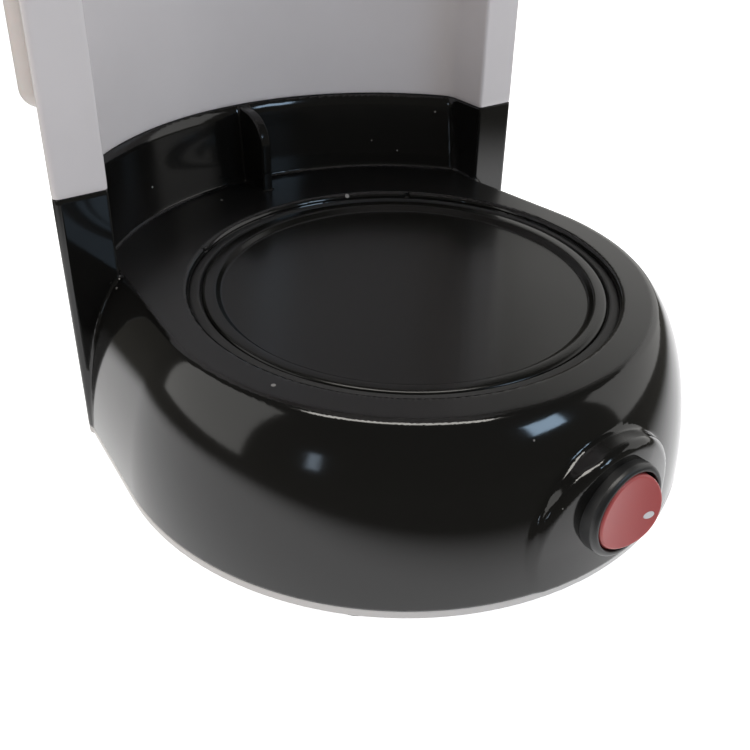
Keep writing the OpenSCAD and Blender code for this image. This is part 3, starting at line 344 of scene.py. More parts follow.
def makeFinish(name):
    if name in materials:
        return materials[name]
    value = finishes[name]
    mat, tree, out = newMaterial(name)
    skin = addNode(tree, "ShaderNodeBsdfPrincipled", Metallic=value.get("metal", 0.0), IOR=skinRules["ior"],
                   Coat_Weight=value.get("coat", 0.0), Coat_Roughness=skinRules["coatRough"],
                   Specular_IOR_Level=value.get("shine", 0.5), Subsurface_Weight=value.get("inner", 0.0),
                   Subsurface_Scale=skinRules["innerDepth"], Transmission_Weight=value.get("clear", 0.0))
    mould = tree.nodes.new("ShaderNodeGroup")
    mould.node_tree = mouldGroup
    for key, number in (("Grain Size", value["grain"]), ("Wave Size", value["wave"]),
                        ("Wave Share", value["share"]), ("Rough", value["rough"]),
                        ("Rough Spread", value["spread"] * 2)):  # the noise swings by half of it each way
        mould.inputs[key].default_value = number
    bump = addNode(tree, "ShaderNodeBump", Strength=value["bump"], Distance=value["depth"])
    tree.links.new(mould.outputs["Height"], bump.inputs["Height"])
    tree.links.new(bump.outputs[0], skin.inputs["Normal"])
    rough = mould.outputs["Roughness"]
    if "film" in value:
        rough = filmedRough(tree, rough, value["film"])
    tree.links.new(rough, skin.inputs["Roughness"])
    tone = addNode(tree, "ShaderNodeMix", data_type="RGBA")
    for key, share in zip(("A", "B"), skinRules["tones"]):
        tone.inputs[key].default_value = tuple(min(c * share, 1) for c in value["color"]) + (1,)
    tree.links.new(mould.outputs["Tone"], tone.inputs["Factor"])
    color = tone.outputs["Result"]
    if "dust" in value:
        color = dustedColor(tree, color, value["dust"])
    tree.links.new(color, skin.inputs["Base Color"])
    tree.links.new(skin.outputs[0], out.inputs["Surface"])
    materials[name] = mat
    return mat


def place(mesh, name, body, finish, *nodes):
    obj = bpy.data.objects.new(name, mesh)
    scene.collection.objects.link(obj)
    mesh.materials.append(makeFinish(finish))
    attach(obj, body)
    if nodes:
        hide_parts(*nodes)
    return obj


def slopeOf(field, points, reach=0.02):
    grad = np.empty(points.shape)
    for k in range(3):
        step = np.zeros(3)
        step[k] = reach
        a, b = points + step, points - step
        grad[:, k] = field(a[:, 0], a[:, 1], a[:, 2]) - field(b[:, 0], b[:, 1], b[:, 2])
    return grad / np.maximum(np.linalg.norm(grad, axis=1), 1e-9)[:, None]


meshing = {"tries": 3, "pull": 0.03, "stray": 0.6,  # steps to a crossing, a corner's pull and furthest stray
           "settles": 2, "near": 0.3, "share": 0.9,  # moves onto the true skin, from how near, by how much
           "inset": 0.3, "reach": 0.05}  # where a face's corner normals are taken


def sampleField(field, low, step, count):
    lines = [low[k] + step[k] * np.arange(count[k]) for k in range(3)]
    x, y = np.meshgrid(lines[0], lines[1], indexing="ij")
    values = np.empty(count, np.float32)
    for k in range(count[2]):  # one level at a time keeps memory small
        values[:, :, k] = field(x, y, np.full(x.shape, lines[2][k]))
    return values


def findCrossings(field, values, low, step, axis):  # where the skin cuts the grid lines along one axis
    here, there = [slice(None)] * 3, [slice(None)] * 3
    here[axis], there[axis] = slice(0, -1), slice(1, None)
    solid = values < 0
    index = np.argwhere(solid[tuple(here)] != solid[tuple(there)])
    one = np.zeros(3, int)
    one[axis] = 1
    a = values[tuple(index.T)].astype(float)
    b = values[tuple((index + one).T)].astype(float)
    start = low + step * index
    lo, hi = np.zeros(len(index)), np.ones(len(index))
    t = a / (a - b)
    for _ in range(meshing["tries"]):  # false position along the edge
        p = start + t[:, None] * one * step
        v = field(p[:, 0], p[:, 1], p[:, 2])
        same = np.sign(v) == np.sign(a)
        lo, a = np.where(same, t, lo), np.where(same, v, a)
        hi, b = np.where(same, hi, t), np.where(same, b, v)
        apart = np.abs(a - b) > 1e-9
        t = np.where(apart, lo + (hi - lo) * a / np.where(apart, a - b, 1), t)
    return index, start + t[:, None] * one * step


def addFaces(field, values, low, step, cells, sums, axis):  # one per crossing, which its cells' sums take in
    index, p = findCrossings(field, values, low, step, axis)
    n = slopeOf(field, p)
    u, v = [k for k in range(3) if k != axis]
    ok = (index[:, u] > 0) & (index[:, v] > 0) & (index[:, u] < cells[u]) & (index[:, v] < cells[v])
    index, p, n = index[ok], p[ok], n[ok]
    quad = []
    for du, dv in ((1, 1), (0, 1), (0, 0), (1, 0)):
        cell = index.copy()
        cell[:, u] -= du
        cell[:, v] -= dv
        flat = np.ravel_multi_index(cell.T, cells)
        quad.append(flat)
        centre = low + step * (cell + 0.5)
        q = p - centre
        d = (n * q).sum(1)
        rows = [n[:, 0] ** 2, n[:, 0] * n[:, 1], n[:, 0] * n[:, 2], n[:, 1] ** 2, n[:, 1] * n[:, 2],
                n[:, 2] ** 2, n[:, 0] * d, n[:, 1] * d, n[:, 2] * d, q[:, 0], q[:, 1], q[:, 2],
                np.ones(len(d))]
        for k, row in enumerate(rows):
            sums[k] += np.bincount(flat, row, len(sums[k]))
    quad = np.stack(quad, 1)
    flip = (values[tuple(index.T)] < 0) == (axis == 1)
    quad[flip] = quad[flip][:, ::-1]
    return quad


def placeCorners(field, s, cell, low, step):  # one point per cell, where the tangent planes in it meet
    weight = np.maximum(s[12], 1)
    mean = s[9:12].T / weight[:, None]
    ata = s[[0, 1, 2, 1, 3, 4, 2, 4, 5]].T.reshape(-1, 3, 3).copy()
    rest = s[6:9].T - np.einsum("nij,nj->ni", ata, mean)
    ata[:, [0, 1, 2], [0, 1, 2]] += meshing["pull"] * weight[:, None]
    spot = mean + np.linalg.solve(ata, rest[:, :, None])[:, :, 0]
    spot = np.clip(spot, -meshing["stray"] * step, meshing["stray"] * step)
    verts = low + step * (cell + 0.5) + spot
    for _ in range(meshing["settles"]):
        v = field(verts[:, 0], verts[:, 1], verts[:, 2])
        n = slopeOf(field, verts)
        move = np.abs(v) < meshing["near"] * step.min()
        verts[move] -= (v[:, None] * n)[move] * meshing["share"]
    return verts


def meshFromField(name, field, low, high, step):  # skin where field is 0, solid where it is below 0, in mm
    low, step = np.array(low, float), np.array(step, float)
    count = np.ceil((np.array(high) - low) / step).astype(int) + 1
    values = sampleField(field, low, step, count)
    cells = count - 1
    sums = np.zeros((13, int(np.prod(cells))))  # per cell: products of normals, offsets, places and a count
    faces = np.concatenate([addFaces(field, values, low, step, cells, sums, axis) for axis in range(3)])
    used = np.unique(faces)
    verts = placeCorners(field, sums[:, used], np.stack(np.unravel_index(used, cells), 1), low, step)
    faces = np.searchsorted(used, faces)
    corners = verts[faces]
    near = corners * (1 - meshing["inset"]) + corners.mean(1)[:, None, :] * meshing["inset"]
    normals = slopeOf(field, near.reshape(-1, 3), meshing["reach"])
    mesh = bpy.data.meshes.new(name)
    mesh.vertices.add(len(verts))
    mesh.vertices.foreach_set("co", (verts * mm + [0, plateY, 0]).astype(np.float32).ravel())
    mesh.loops.add(faces.size)
    mesh.loops.foreach_set("vertex_index", faces.astype(np.int32).ravel())
    mesh.polygons.add(len(faces))
    mesh.polygons.foreach_set("loop_start", np.arange(0, faces.size, 4, dtype=np.int32))
    mesh.polygons.foreach_set("use_smooth", np.ones(len(faces), bool))
    mesh.update(calc_edges=True)
    mesh.validate()
    if len(mesh.loops) == len(normals):
        mesh.normals_split_custom_set([Vector(n) for n in normals])
    print(name, len(verts), "points")
    return mesh


def placeField(name, field, value, body, finish, *nodes):
    place(meshFromField(name, field, *value["span"]), name, body, finish, *nodes)


def roundMax(a, b, r):
    return np.minimum(-r, np.maximum(a, b)) + np.hypot(np.maximum(r + a, 0), np.maximum(r + b, 0))


def roundMin(a, b, r):
    return -roundMax(-a, -b, r)


def slab(v, middle, half):  # the pairs in the dictionaries below are such a middle and half width
    return np.abs(v - middle) - half


def latheMesh(name, profile, turns=256, sharp=25, centres=((0, 0),)):  # profile in mm, from low to high
    onAxis = 1e-6
    bm = bmesh.new()
    for cx, cy in centres:
        rings = []
        for k in range(turns):
            a = 2 * math.pi * k / turns
            c, s = math.cos(a), math.sin(a)
            rings.append([None if r < onAxis else bm.verts.new(toRow(cx + r * c, cy + r * s, z))
                          for r, z in profile])
        poles = [bm.verts.new(toRow(cx, cy, z)) if r < onAxis else None for r, z in profile]
        last = len(profile) - (1 if poles[0] and poles[-1] else 0)
        for k in range(turns):
            one, two = rings[k], rings[(k + 1) % turns]
            for i in range(last):
                j = (i + 1) % len(profile)
                ring = [one[i] or poles[i], two[i] or poles[i], two[j] or poles[j], one[j] or poles[j]]
                keep = [v for n, v in enumerate(ring) if v not in ring[:n]]
                if len(keep) > 2:
                    bm.faces.new(keep)
    bmesh.ops.recalc_face_normals(bm, faces=bm.faces)
    for face in bm.faces:
        face.smooth = True
    mesh = bpy.data.meshes.new(name)
    bm.to_mesh(mesh)
    bm.free()
    mesh.set_sharp_from_angle(angle=math.radians(sharp))
    return mesh


def roundedProfile(points, steps=5):  # each point is (r, z) or (r, z, radius)
    out = []
    for k, point in enumerate(points):
        r = point[2] if len(point) > 2 else 0
        here = Vector(point[:2])
        if r <= 0:
            out.append(tuple(here))
            continue
        before = (Vector(points[k - 1][:2]) - here).normalized()
        after = (Vector(points[(k + 1) % len(points)][:2]) - here).normalized()
        half = before.angle(after) / 2
        reach = r / math.tan(half)
        centre = here + (before + after).normalized() * (r / math.sin(half))
        a, b = here + before * reach - centre, here + after * reach - centre
        for n in range(steps + 1):
            v = a.slerp(b, n / steps) if a.length > 0 else a
            out.append(tuple(centre + v))
    return out


base = {"bottom": 4.5, "deck": 42.0, "drumR": 69.7, "creaseR": 58.05, "over": 2.0, "flank": 6.7,
        "creaseRound": 0.7, "seam": 63.0, "seamRound": 0.35, "columnRound": 0.7, "columnBlend": 0.8,
        "lap": 3, "wall": 2.2, "wellR": 50.0, "wellRound": 1.3, "seat": 38.8, "seatMid": -0.2,
        "seatHalf": 2.4, "holeR": 43.6, "collarR": 70.6, "draft": 0.085, "lipStart": 60.2, "lip": 0.85,
        "colIn": 54.3, "recessRound": 6.0, "ribFront": 61.2, "ribTop": 62.4, "ribHalf": 1.5, "ribRound": 8.5,
        "ribEdge": 0.7, "ribEnd": 2, "ribBlend": 0.5, "cordZ": 17, "cordR": 5.7, "cordHalf": 5,
        "lowRound": 0.2,
        "span": ((-72.4, -73.4, 3.1), (72.4, 114.4, 65.1), (0.8, 0.8, 0.8))}  # from, to and mesh step
tower = {"colOut": 66.3, "front": 36.4, "round": 1.2, "rearX": 24.0, "rearR": 22.0, "rear": 112.0,
         "top": 226.0, "wallR": 73.2, "bottom": 63.0, "airRound": 0.9, "lowRound": 0.5,
         "span": ((-67.4, 34.4, 61.9), (67.4, 114.4, 229), (0.8, 0.8, 1.6))}
switch = {"z": 19.9, "tilt": 2.6, "turn": -25.0, "out": 1.06, "flush": 0.15, "drop": 6.9, "bossR": 21.0,
          "bossRound": 2.1, "faceRound": 0.5, "bossBlend": 0.9, "bossDepth": 26, "hole": 9.98, "holeHalf": 9}
faceLean = math.tan(math.radians(switch["tilt"]))
faceY = -(base["drumR"] + switch["out"]) + faceLean * (switch["z"] - base["bottom"])


def domeRadius(z):  # the drum's side swells down from the crease as part of an ellipse
    b = base["deck"] + base["over"]
    k0, k1 = (math.sqrt(1 - (h / b) ** 2) for h in (base["deck"], base["bottom"]))
    a = (base["drumR"] - base["creaseR"]) / (k1 - k0)
    tip = 0.02  # keeps the root real above the ellipse
    return base["creaseR"] - a * k0 + a * np.sqrt(np.maximum(1 - (z / b) ** 2, tip))


def drumField(x, y, z):
    s = math.radians(base["flank"])
    nx, ny = math.cos(s), math.sin(s)
    x = np.abs(x)
    plan = np.where(nx * y - ny * x > 0, nx * x + ny * y, np.hypot(x, y))
    h = 0.1
    slope = (domeRadius(z + h) - domeRadius(z - h)) / (2 * h)
    return (plan - domeRadius(z)) / np.sqrt(1 + slope ** 2)


def hullPlan(x, y, ring):  # outline round the circles (x, y, r) from front to rear, and its mirror image
    x = np.abs(x)
    turns = [-math.pi / 2]
    for (ax, ay, ar), (bx, by, br) in zip(ring, ring[1:]):
        lean = math.asin((ar - br) / math.hypot(bx - ax, by - ay))
        turns.append(math.atan2(by - ay, bx - ax) - math.pi / 2 + lean)
    turns.append(math.pi / 2)
    flat = np.maximum(ring[0][1] - ring[0][2] - y, y - ring[-1][1] - ring[-1][2])
    for (cx, cy, r), a in zip(ring, turns[1:]):
        flat = np.maximum(flat, math.cos(a) * (x - cx) + math.sin(a) * (y - cy) - r)
    for (cx, cy, r), a, b in zip(ring, turns, turns[1:]):
        dx, dy = x - cx, y - cy
        near = (math.cos(a) * dy - math.sin(a) * dx >= 0) & (math.sin(b) * dx - math.cos(b) * dy >= 0)
        flat = np.where(near, np.hypot(dx, dy) - r, flat)
    return flat


towerRing = [(tower["colOut"] - tower["round"], tower["front"] + tower["round"], tower["round"]),
             (tower["rearX"], tower["rear"] - tower["rearR"], tower["rearR"])]


def towerPlan(x, y):
    return hullPlan(x, y, towerRing)


def recessPlan(x, y, r):  # jug space seen from above, closed by an arc of radius r
    x = np.abs(x)
    c = base["recessRound"]
    cx = base["colIn"] - c
    cy = np.sqrt((r - c) ** 2 - cx ** 2)
    ax, ay = x - cx, y - cy
    inCorner = (ay >= 0) & (ax * cy - ay * cx >= 0)
    onArc = (cx * y - cy * x >= 0) & (y > 0)
    return np.where(inCorner, np.hypot(ax, ay) - c, np.where(onArc, np.hypot(x, y) - r, x - base["colIn"]))


def faceLocal(x, y, z):  # switch frame without its turn: right, up, out
    t = math.radians(switch["tilt"])
    c, s = math.sin(t), math.cos(t)
    dy, dz = y - faceY, z - switch["z"]
    return x, dy * c + dz * s, -dy * s + dz * c


def bossField(x, y, z):
    lx, ly, lz = faceLocal(x, y, z)
    side = np.hypot(lx, ly + switch["drop"]) - switch["bossR"]
    face = roundMax(lz, np.hypot(x, y) - base["drumR"] - switch["flush"], switch["faceRound"])
    return np.maximum(roundMax(side, face, switch["bossRound"]), -lz - switch["bossDepth"])


def collarRadius(z):
    lip = np.maximum(z - base["lipStart"], 0) / (base["seam"] - base["lipStart"])
    return base["collarR"] + (z - base["deck"]) * base["draft"] + base["lip"] * lip ** 2


def baseField(x, y, z):
    drum = roundMax(drumField(x, y, z), z - base["deck"], base["creaseRound"])
    drum = np.maximum(drum, y - tower["front"] - base["lap"])
    front = roundMin(drum, bossField(x, y, z), switch["bossBlend"])
    plan = towerPlan(x, y)
    lower = np.maximum(plan + base["lap"], z - base["deck"])
    columns = roundMax(plan, -recessPlan(x, y, collarRadius(z)), base["columnRound"])
    columns = roundMax(columns, z - base["seam"], base["seamRound"])
    return roundMin(np.minimum(front, lower), columns, base["columnBlend"])


def ribField(x, y, z):
    side = roundMax(base["ribFront"] - y, z - base["ribTop"], base["ribRound"])
    rib = roundMax(side, np.abs(x) - base["ribHalf"], base["ribEdge"])
    return np.maximum(rib, y - base["collarR"] - base["ribEnd"])


def baseShell(x, y, z):
    outer = baseField(x, y, z)
    shell = np.maximum(outer, -outer - base["wall"])
    shell = roundMin(shell, ribField(x, y, z), base["ribBlend"])
    r = np.hypot(x, y)
    seat = slab(z - base["seat"], base["seatMid"], base["seatHalf"])
    shell = np.minimum(shell, np.maximum(r - base["wellR"] - base["wall"], seat))
    well = np.maximum(r - base["wellR"], base["seat"] - z)
    shell = roundMax(shell, -well, base["wellRound"])
    shell = np.maximum(shell, base["holeR"] - r)
    lx, ly, lz = faceLocal(x, y, z)
    hole = np.maximum(np.hypot(lx, ly) - switch["hole"], np.abs(lz) - switch["holeHalf"])
    cord = np.hypot(x, z - base["cordZ"]) - base["cordR"]
    cord = np.maximum(cord, slab(y, tower["rear"], base["cordHalf"]))
    shell = np.maximum(np.maximum(shell, -hole), -cord)
    return roundMax(shell, base["bottom"] - z, base["lowRound"])


placeField("baseMoulding", baseShell, base, "chassis", "gloss black", "base_housing")
print("base is in")


def towerShell(x, y, z):
    body = roundMax(towerPlan(x, y), -recessPlan(x, y, tower["wallR"]), tower["airRound"])
    body = roundMax(body, tower["bottom"] - z, tower["lowRound"])
    body = np.maximum(body, -body - base["wall"])
    return np.maximum(body, z - tower["top"])


placeField("towerMoulding", towerShell, tower, "chassis", "white shell", "tower_housing")
print("tower is in")

plate = {"r": 47.25, "stepR": 43.0, "top": 40.8, "disc": 39.6, "sheet": 0.8, "skirt": 1.2}
discLow, rimLow = plate["disc"] - plate["sheet"], plate["top"] - plate["sheet"]
skirtLow = plate["top"] - plate["skirt"]
plateProfile = roundedProfile([
    (0, discLow), (plate["stepR"] - 0.3, discLow, 1.0), (plate["stepR"] + 1.5, rimLow, 0.8),
    (plate["r"] - 1.0, rimLow, 0.6), (plate["r"] - 0.9, skirtLow), (plate["r"], skirtLow),
    (plate["r"], plate["top"], 0.9), (plate["stepR"] + 1.2, plate["top"], 1.0),
    (plate["stepR"], plate["disc"], 0.9), (0, plate["disc"])])
place(latheMesh("plateDisc", plateProfile), "plateDisc", "chassis", "plate coat", "warming_plate")
sealProfile = roundedProfile([
    (44.0, 38.8), (49.8, 38.8), (49.8, 40.0, 0.5), (48.2, 40.1, 0.3), (47.45, 39.7), (47.45, 39.8),
    (44.0, 39.8)])
place(latheMesh("plateSeal", sealProfile), "plateSeal", "chassis", "dull rubber", "plate_gasket")

rim = {"low": 2.3, "topRound": 0.3, "lowRound": 0.7, "slotPitch": 6, "slotShift": 27, "slotHalf": 1,
       "slotX": 25, "slotFront": 8, "slotRear": 34,
       "span": ((-72.4, -72.4, 1.5), (72.4, 114.4, 5.3), (0.8, 0.8, 0.4))}


def rimField(x, y, z):
    drum = drumField(x, y, z * 0 + base["bottom"])
    body = np.minimum(np.maximum(drum, y - tower["front"] - base["lap"]), towerPlan(x, y))
    body = roundMax(body, z - base["bottom"], rim["topRound"])
    body = roundMax(body, rim["low"] - z, rim["lowRound"])
    slot = slab((x + rim["slotShift"]) % rim["slotPitch"], rim["slotPitch"] / 2, rim["slotHalf"])
    slot = np.maximum(slot, np.abs(x) - rim["slotX"])
    slot = np.maximum(slot, np.maximum(rim["slotFront"] - y, y - rim["slotRear"]))
    return np.maximum(body, -slot)


placeField("rim", rimField, rim, "chassis", "ivory rim", "base_cover")
print("plate, seal and rim are in")

bezel = {"r": 10.6, "h": 2.7, "sink": 1.2, "coneFrom": 1.6, "cone": 0.4, "round": 0.7, "bodyR": 9.9,
         "bodyLow": -15, "wellLow": -7, "wellRound": 0.25, "pinR": 1.5, "pinHalf": 9.6,
         "span": ((-12.6, -12.6, -15.9), (12.6, 12.6, 5), (0.35, 0.35, 0.35))}
rocker = {"r": 8.6, "gap": 0.45, "play": 0.1, "low": -2.2, "rise": 0.35, "hollow": 0.0143, "vee": 6.5,
          "round": 0.7, "taperFrom": 3.5, "taper": 0.12, "pinR": 1.2, "pinHalf": 9.4,
          "span": ((-9.6, -9.9, -3.3), (9.6, 9.9, 7.4), (0.25, 0.25, 0.25))}
mark = {"x": 5.6, "long": 1.35, "wide": 0.8, "pocket": 0.5, "pocketGap": 0.04, "sink": 0.2, "half": 0.25,
        "round": 0.12, "span": ((3.2, -1.6, 3.0), (7.4, 1.6, 5.1), (0.12, 0.12, 0.08))}


def switchMatrix():
    tilt = Matrix.Rotation(math.radians(90 - switch["tilt"]), 4, "X")
    turn = Matrix.Rotation(math.radians(switch["turn"]), 4, "Z")
    return Matrix.Translation(toRow(0, faceY, switch["z"])) @ tilt @ turn @ Matrix.Scale(mm, 4)


def placeLocal(name, field, value, body, finish, node):  # built round the switch's own axes
    mesh = meshFromField(name, field, *value["span"])
    mesh.transform(switchMatrix() @ Matrix.Translation((0, -plateY / mm, 0)) @ Matrix.Scale(1 / mm, 4))
    place(mesh, name, body, finish, node)


def bezelField(x, y, z):
    r = np.hypot(x, y)
    cone = r - bezel["r"] + np.maximum(z - bezel["coneFrom"], 0) * bezel["cone"]
    flange = roundMax(np.maximum(cone, -bezel["sink"] - z), z - bezel["h"], bezel["round"])
    barrel = np.maximum(r - bezel["bodyR"], np.maximum(z, bezel["bodyLow"] - z))
    well = np.maximum(r - rocker["r"] - rocker["gap"], bezel["wellLow"] - z)
    body = roundMax(np.minimum(flange, barrel), -well, bezel["wellRound"])
    pin = np.maximum(np.hypot(x, z) - bezel["pinR"], np.abs(y) - bezel["pinHalf"])
    return np.maximum(body, -pin)


def restLocal(x, z):  # undo the rocker's resting tilt
    v = math.radians(rocker["vee"])
    return x * math.cos(v) + z * math.sin(v), z * math.cos(v) - x * math.sin(v)


def rockerTop(x):
    return bezel["h"] + rocker["rise"] + rocker["hollow"] * x ** 2


def markPlan(x, y):  # oval lying level on the tilted rocker
    a = math.radians(-switch["turn"])
    u = (x - mark["x"]) * math.cos(a) + y * math.sin(a)
    v = y * math.cos(a) - (x - mark["x"]) * math.sin(a)
    return (np.hypot(u / mark["long"], v / mark["wide"]) - 1) * mark["wide"]


def rockerField(x, y, z):
    px, pz = restLocal(x, z)
    taper = np.maximum(pz - rocker["taperFrom"], 0) * rocker["taper"]
    side = np.hypot(px, y) - rocker["r"] + rocker["play"] + taper
    body = roundMax(side, pz - rockerTop(px), rocker["round"])
    body = np.maximum(body, rocker["low"] - pz)
    pin = np.maximum(np.hypot(px, pz) - rocker["pinR"], np.abs(y) - rocker["pinHalf"])
    pocket = np.maximum(markPlan(px, y) - mark["pocketGap"], rockerTop(px) - mark["pocket"] - pz)
    return np.maximum(np.minimum(body, pin), -pocket)


def markField(x, y, z):
    px, pz = restLocal(x, z)
    return roundMax(markPlan(px, y), slab(pz - rockerTop(px), -mark["sink"], mark["half"]), mark["round"])


placeLocal("switchBezel", bezelField, bezel, "chassis", "satin black", "switch_body")
placeLocal("rockerCap", rockerField, rocker, "rocker", "lamp red", "rocker")
placeLocal("rockerMark", markField, mark, "rocker", "print white", "rocker_dot")
print("switch is in")

hinge = {"y": 116.5, "z": 239.0, "r": 4.0, "round": 0.5, "blend": 0.6}  # the lid's pin and the lugs round it
pivot = {"x": -61.0, "y": 30.0, "r": 5.0, "bore": 2.08}  # upright pin that the holder swings on
head = {"r": 68.5, "low": 226.0, "high": 238.0, "topRound": 0.4, "lowRound": 0.9, "floor": 2.4, "wall": 2.2,
        "wallRound": 0.5, "bore": 12.0, "mouthLap": 3, "mouthGap": 3.2, "mouthFront": 20, "mouthRound": 0.4,
        "bossHalf": 3, "bossBlend": 0.6, "lug": (20.5, 2.5), "webY": (113.2, 3.4), "webZ": (235, 4),
        "span": ((-72, -71, 224.4), (72, 121.9, 244.3), (0.9, 0.9, 0.5))}
lid = {"top": 247.0, "crown": 2.0, "crownReach": 14, "topRound": 2.6, "lowRound": 0.3, "wallRound": 0.6,
       "notchHalf": 3.1, "notchFront": 109.2, "notchTop": 244.5, "notchRound": 0.3,
       "lug": (15.0, 2.4), "webY": (113.7, 2.8), "webZ": (240.7, 2.3),
       "grip": 12.0, "gripOut": 4.8, "gripIn": 3, "gripZ": (244.5, 1.5), "gripRound": 1.2, "gripEnd": 1.4,
       "gripBlend": 1.0, "span": ((-72, -75, 234.2), (72, 121.9, 250.2), (0.9, 0.9, 0.5))}
cup = {"r": 60.0, "wall": 2.0, "floor": 2.8, "low": 177.0, "top": 225.0, "topRound": 0.7, "funnel": 159.0,
       "neckR": 8.6, "coneWall": 2.7, "coneRound": 3, "roomRound": 2, "mouthRound": 0.7,
       "outlet": 152.0, "outletR": 8.0, "outletRound": 0.6, "spoutTop": 164, "spoutBlend": 2.0,
       "stem": 2.58, "spring": 5.5, "room": 157.5, "barrelDrop": 2.8, "armHalf": 4, "armAlong": (60, 8),
       "armZ": (201, 22.5), "armBlend": 1.5, "handle": 15.0, "handleR": 71.0, "handleIn": 50,
       "handleZ": (211.0, 2.0), "handleRound": 1.6, "handleEnd": 2.5,
       "span": ((-69, -73.4, 150.4), (62.6, 62.6, 227), (0.9, 0.9, 0.8))}
headRing = [(0, 0, head["r"])] + towerRing


def hingeLug(x, y, z, value):
    knuckle = np.hypot(y - hinge["y"], z - hinge["z"]) - hinge["r"]
    web = np.maximum(slab(y, *value["webY"]), slab(z, *value["webZ"]))
    return roundMax(np.minimum(knuckle, web), slab(np.abs(x), *value["lug"]), hinge["round"])


def headShell(x, y, z):
    plan = hullPlan(x, y, headRing)
    r = np.hypot(x, y)
    body = roundMax(roundMax(plan, z - head["high"], head["topRound"]), head["low"] - z, head["lowRound"])
    room = np.maximum(plan + head["wall"], head["low"] + head["floor"] - z)
    body = roundMax(body, -room, head["wallRound"])
    mouth = np.maximum(towerPlan(x, y) + head["mouthLap"], tower["wallR"] + head["mouthGap"] - r)
    mouth = np.maximum(mouth, tower["front"] + head["mouthFront"] - y)
    body = roundMax(body, -mouth, head["mouthRound"])
    body = np.maximum(body, head["bore"] - r)
    boss = np.hypot(x - pivot["x"], y - pivot["y"]) - pivot["r"]
    boss = np.maximum(boss, slab(z - head["low"], head["bossHalf"], head["bossHalf"]))
    body = roundMin(body, boss, head["bossBlend"])
    return roundMin(body, hingeLug(x, y, z, head), hinge["blend"])


def lidShell(x, y, z):
    plan = hullPlan(x, y, headRing)
    top = lid["top"] + lid["crown"] * (1 - np.clip(1 + plan / lid["crownReach"], 0, 1) ** 2)
    body = roundMax(roundMax(plan, z - top, lid["topRound"]), head["high"] - z, lid["lowRound"])
    body = roundMax(body, -np.maximum(plan + head["wall"], z - lid["top"] + head["wall"]), lid["wallRound"])
    notch = np.maximum(slab(np.abs(x), head["lug"][0], lid["notchHalf"]), lid["notchFront"] - y)
    body = roundMax(body, -np.maximum(notch, z - lid["notchTop"]), lid["notchRound"])
    body = roundMin(body, hingeLug(x, y, z, lid), hinge["blend"])
    grip = np.maximum(np.hypot(x, y) - head["r"] - lid["gripOut"], y + head["r"] - lid["gripIn"])
    grip = roundMax(grip, slab(z, *lid["gripZ"]), lid["gripRound"])
    grip = roundMax(grip, np.abs(x) - lid["grip"], lid["gripEnd"])
    return roundMin(body, grip, lid["gripBlend"])


def pivotArm(x, y, z):  # barrel on the swing axis, and the arm that holds the cup to it
    barrel = np.hypot(x - pivot["x"], y - pivot["y"]) - pivot["r"]
    barrel = np.maximum(barrel, cup["low"] - cup["barrelDrop"] - z)
    away = math.hypot(pivot["x"], pivot["y"])
    along = (x * pivot["x"] + y * pivot["y"]) / away
    across = (x * pivot["y"] - y * pivot["x"]) / away
    arm = np.maximum(np.abs(across) - cup["armHalf"], slab(along, *cup["armAlong"]))
    return np.minimum(barrel, np.maximum(arm, slab(z, *cup["armZ"])))


def holderShell(x, y, z):
    r = np.hypot(x, y)
    run, rise = cup["r"] - cup["neckR"], cup["low"] - cup["funnel"]
    slant = math.hypot(run, rise)
    cone = (r - cup["neckR"]) * (rise / slant) - (z - cup["funnel"]) * (run / slant)
    body = roundMax(np.maximum(r - cup["r"], cup["funnel"] - z), cone, cup["coneRound"])
    spout = roundMax(r - cup["outletR"], cup["outlet"] - z, cup["outletRound"])
    body = roundMin(body, np.maximum(spout, z - cup["spoutTop"]), cup["spoutBlend"])
    body = roundMin(body, pivotArm(x, y, z), cup["armBlend"])
    handle = np.maximum(r - cup["handleR"], y + cup["handleIn"])
    handle = roundMax(handle, slab(z, *cup["handleZ"]), cup["handleRound"])
    handle = roundMax(handle, np.abs(x) - cup["handle"], cup["handleEnd"])
    body = roundMin(body, handle, cup["handleRound"])
    body = roundMax(body, z - cup["top"], cup["topRound"])
    room = np.maximum(r - cup["r"] + cup["wall"], cup["funnel"] + cup["floor"] - z)
    room = roundMax(room, cone + cup["coneWall"], cup["roomRound"])
    body = roundMax(body, -room, cup["mouthRound"])
    body = np.maximum(body, cup["stem"] - r)
    body = np.maximum(body, -np.maximum(r - cup["spring"], z - cup["room"]))
    return np.maximum(body, pivot["bore"] - np.hypot(x - pivot["x"], y - pivot["y"]))


placeField("headMoulding", headShell, head, "chassis", "white shell", "head_housing")
placeField("lidMoulding", lidShell, lid, "lid", "white shell", "reservoir_lid")
placeField("holderMoulding", holderShell, cup, "holder", "white shell", "filter_holder")
print("head, lid and holder are in")

gauge = {"r": 4.0, "sink": 0.8, "low": 80.0, "high": 206.0, "back": 9.0, "pipe": 2.0, "pipeZ": (143, 55),
         "pipeOut": (-1.5, 1.6), "span": ((-68.4, 42, 78), (-50, 60, 208), (0.45, 0.45, 0.8))}
gland = {"collarR": 7.1, "collarY": (113.1, 1.1), "collarRound": 0.7, "backR": 7.3, "backY": (108.6, 1),
         "barrelR": 5.6, "barrelY": (110.7, 3.1), "bore": 3.3, "boreRound": 0.3,
         "span": ((-8.2, 106.6, 8.8), (8.2, 115, 25.2), (0.4, 0.4, 0.4))}
feet = {"at": ((-44, -42), (44, -42), (-42, 74), (42, 74)), "r": 6.5, "h": 2.3, "pegR": 3.0, "pegH": 3.2,
        "turns": 64, "sharp": 35}


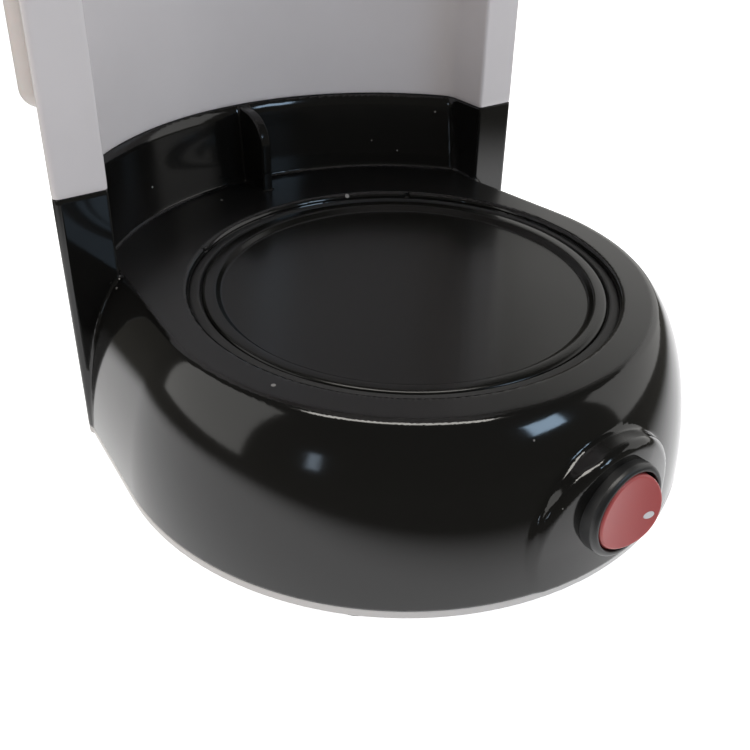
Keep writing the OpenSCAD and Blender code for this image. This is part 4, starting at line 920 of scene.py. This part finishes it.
def gaugeField(x, y, z):  # half-sunk tube down the tower's left side
    (ax, ay, ar), (bx, by, br) = towerRing
    lean = math.asin((ar - br) / math.hypot(bx - ax, by - ay))
    a = math.atan2(by - ay, bx - ax) - math.pi / 2 + lean
    nx, ny = -math.cos(a), math.sin(a)
    cx, cy = -ax + nx * ar + gauge["back"] * ny, ay + ny * ar - gauge["back"] * nx
    out, side = (x - cx) * nx + (y - cy) * ny, (y - cy) * nx - (x - cx) * ny
    level = z - np.clip(z, gauge["low"] + gauge["r"], gauge["high"] - gauge["r"])
    tube = np.sqrt((out + gauge["sink"]) ** 2 + side ** 2 + level ** 2) - gauge["r"]
    pipe = np.hypot(side, slab(z, *gauge["pipeZ"])) - gauge["pipe"]
    return np.minimum(np.maximum(tube, -out), np.maximum(pipe, slab(out, *gauge["pipeOut"])))


def glandField(x, y, z):
    r = np.hypot(x, z - base["cordZ"])
    collar = roundMax(r - gland["collarR"], slab(y, *gland["collarY"]), gland["collarRound"])
    back = np.maximum(r - gland["backR"], slab(y, *gland["backY"]))
    barrel = np.maximum(r - gland["barrelR"], slab(y, *gland["barrelY"]))
    return roundMax(np.minimum(np.minimum(collar, back), barrel), gland["bore"] - r, gland["boreRound"])


placeField("gaugeTube", gaugeField, gauge, "chassis", "gauge cream", "level_gauge")
placeField("cordGland", glandField, gland, "chassis", "satin black", "cord_gland")
pegTop = feet["h"] + feet["pegH"]
footProfile = roundedProfile([(0, 0), (feet["r"], 0, 0.7), (feet["r"], feet["h"], 0.2),
                              (feet["pegR"], feet["h"]), (feet["pegR"], pegTop), (0, pegTop)])
footMesh = latheMesh("footPads", footProfile, feet["turns"], feet["sharp"], feet["at"])
place(footMesh, "footPads", "chassis", "dull rubber", "rubber_feet")
print("gauge, gland and feet are in")

kept = {  # finishes on the pieces that keep their own shape
    "switch_lamp": "lamp glass", "switch_terminals": "tinned brass", "tank": "clear tank",
    "lid_pin": "zinc steel", "pivot_pin": "zinc steel", "filter_basket": "dark plastic",
    "valve_stem": "ivory plastic", "valve_spring": "zinc steel", "valve_seal": "milky silicone",
    "spray_head": "dark plastic", "spout_arm": "white shell", "riser_tube": "cast aluminium",
    "riser_grommet": "milky silicone", "cold_hose": "milky silicone", "hot_hose": "milky silicone",
    "hose_clamps": "zinc steel", "check_valve": "white shell", "check_ball": "zinc steel",
    "heater_casting": "cast aluminium", "element_pins": "tinned brass", "clamp_bar": "zinc steel",
    "clamp_nut": "zinc steel", "thermostat": "fired ceramic", "thermal_fuses": "fired ceramic",
    "fuse_clips": "zinc steel", "terminal_block": "natural nylon", "leads": "wire red",
    "cover_screws": "zinc steel", "tower_screws": "zinc steel",
}
for node, finish in kept.items():
    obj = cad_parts[node]
    obj.data.materials.clear()
    obj.data.materials.append(makeFinish(finish))
print("finishes are on")
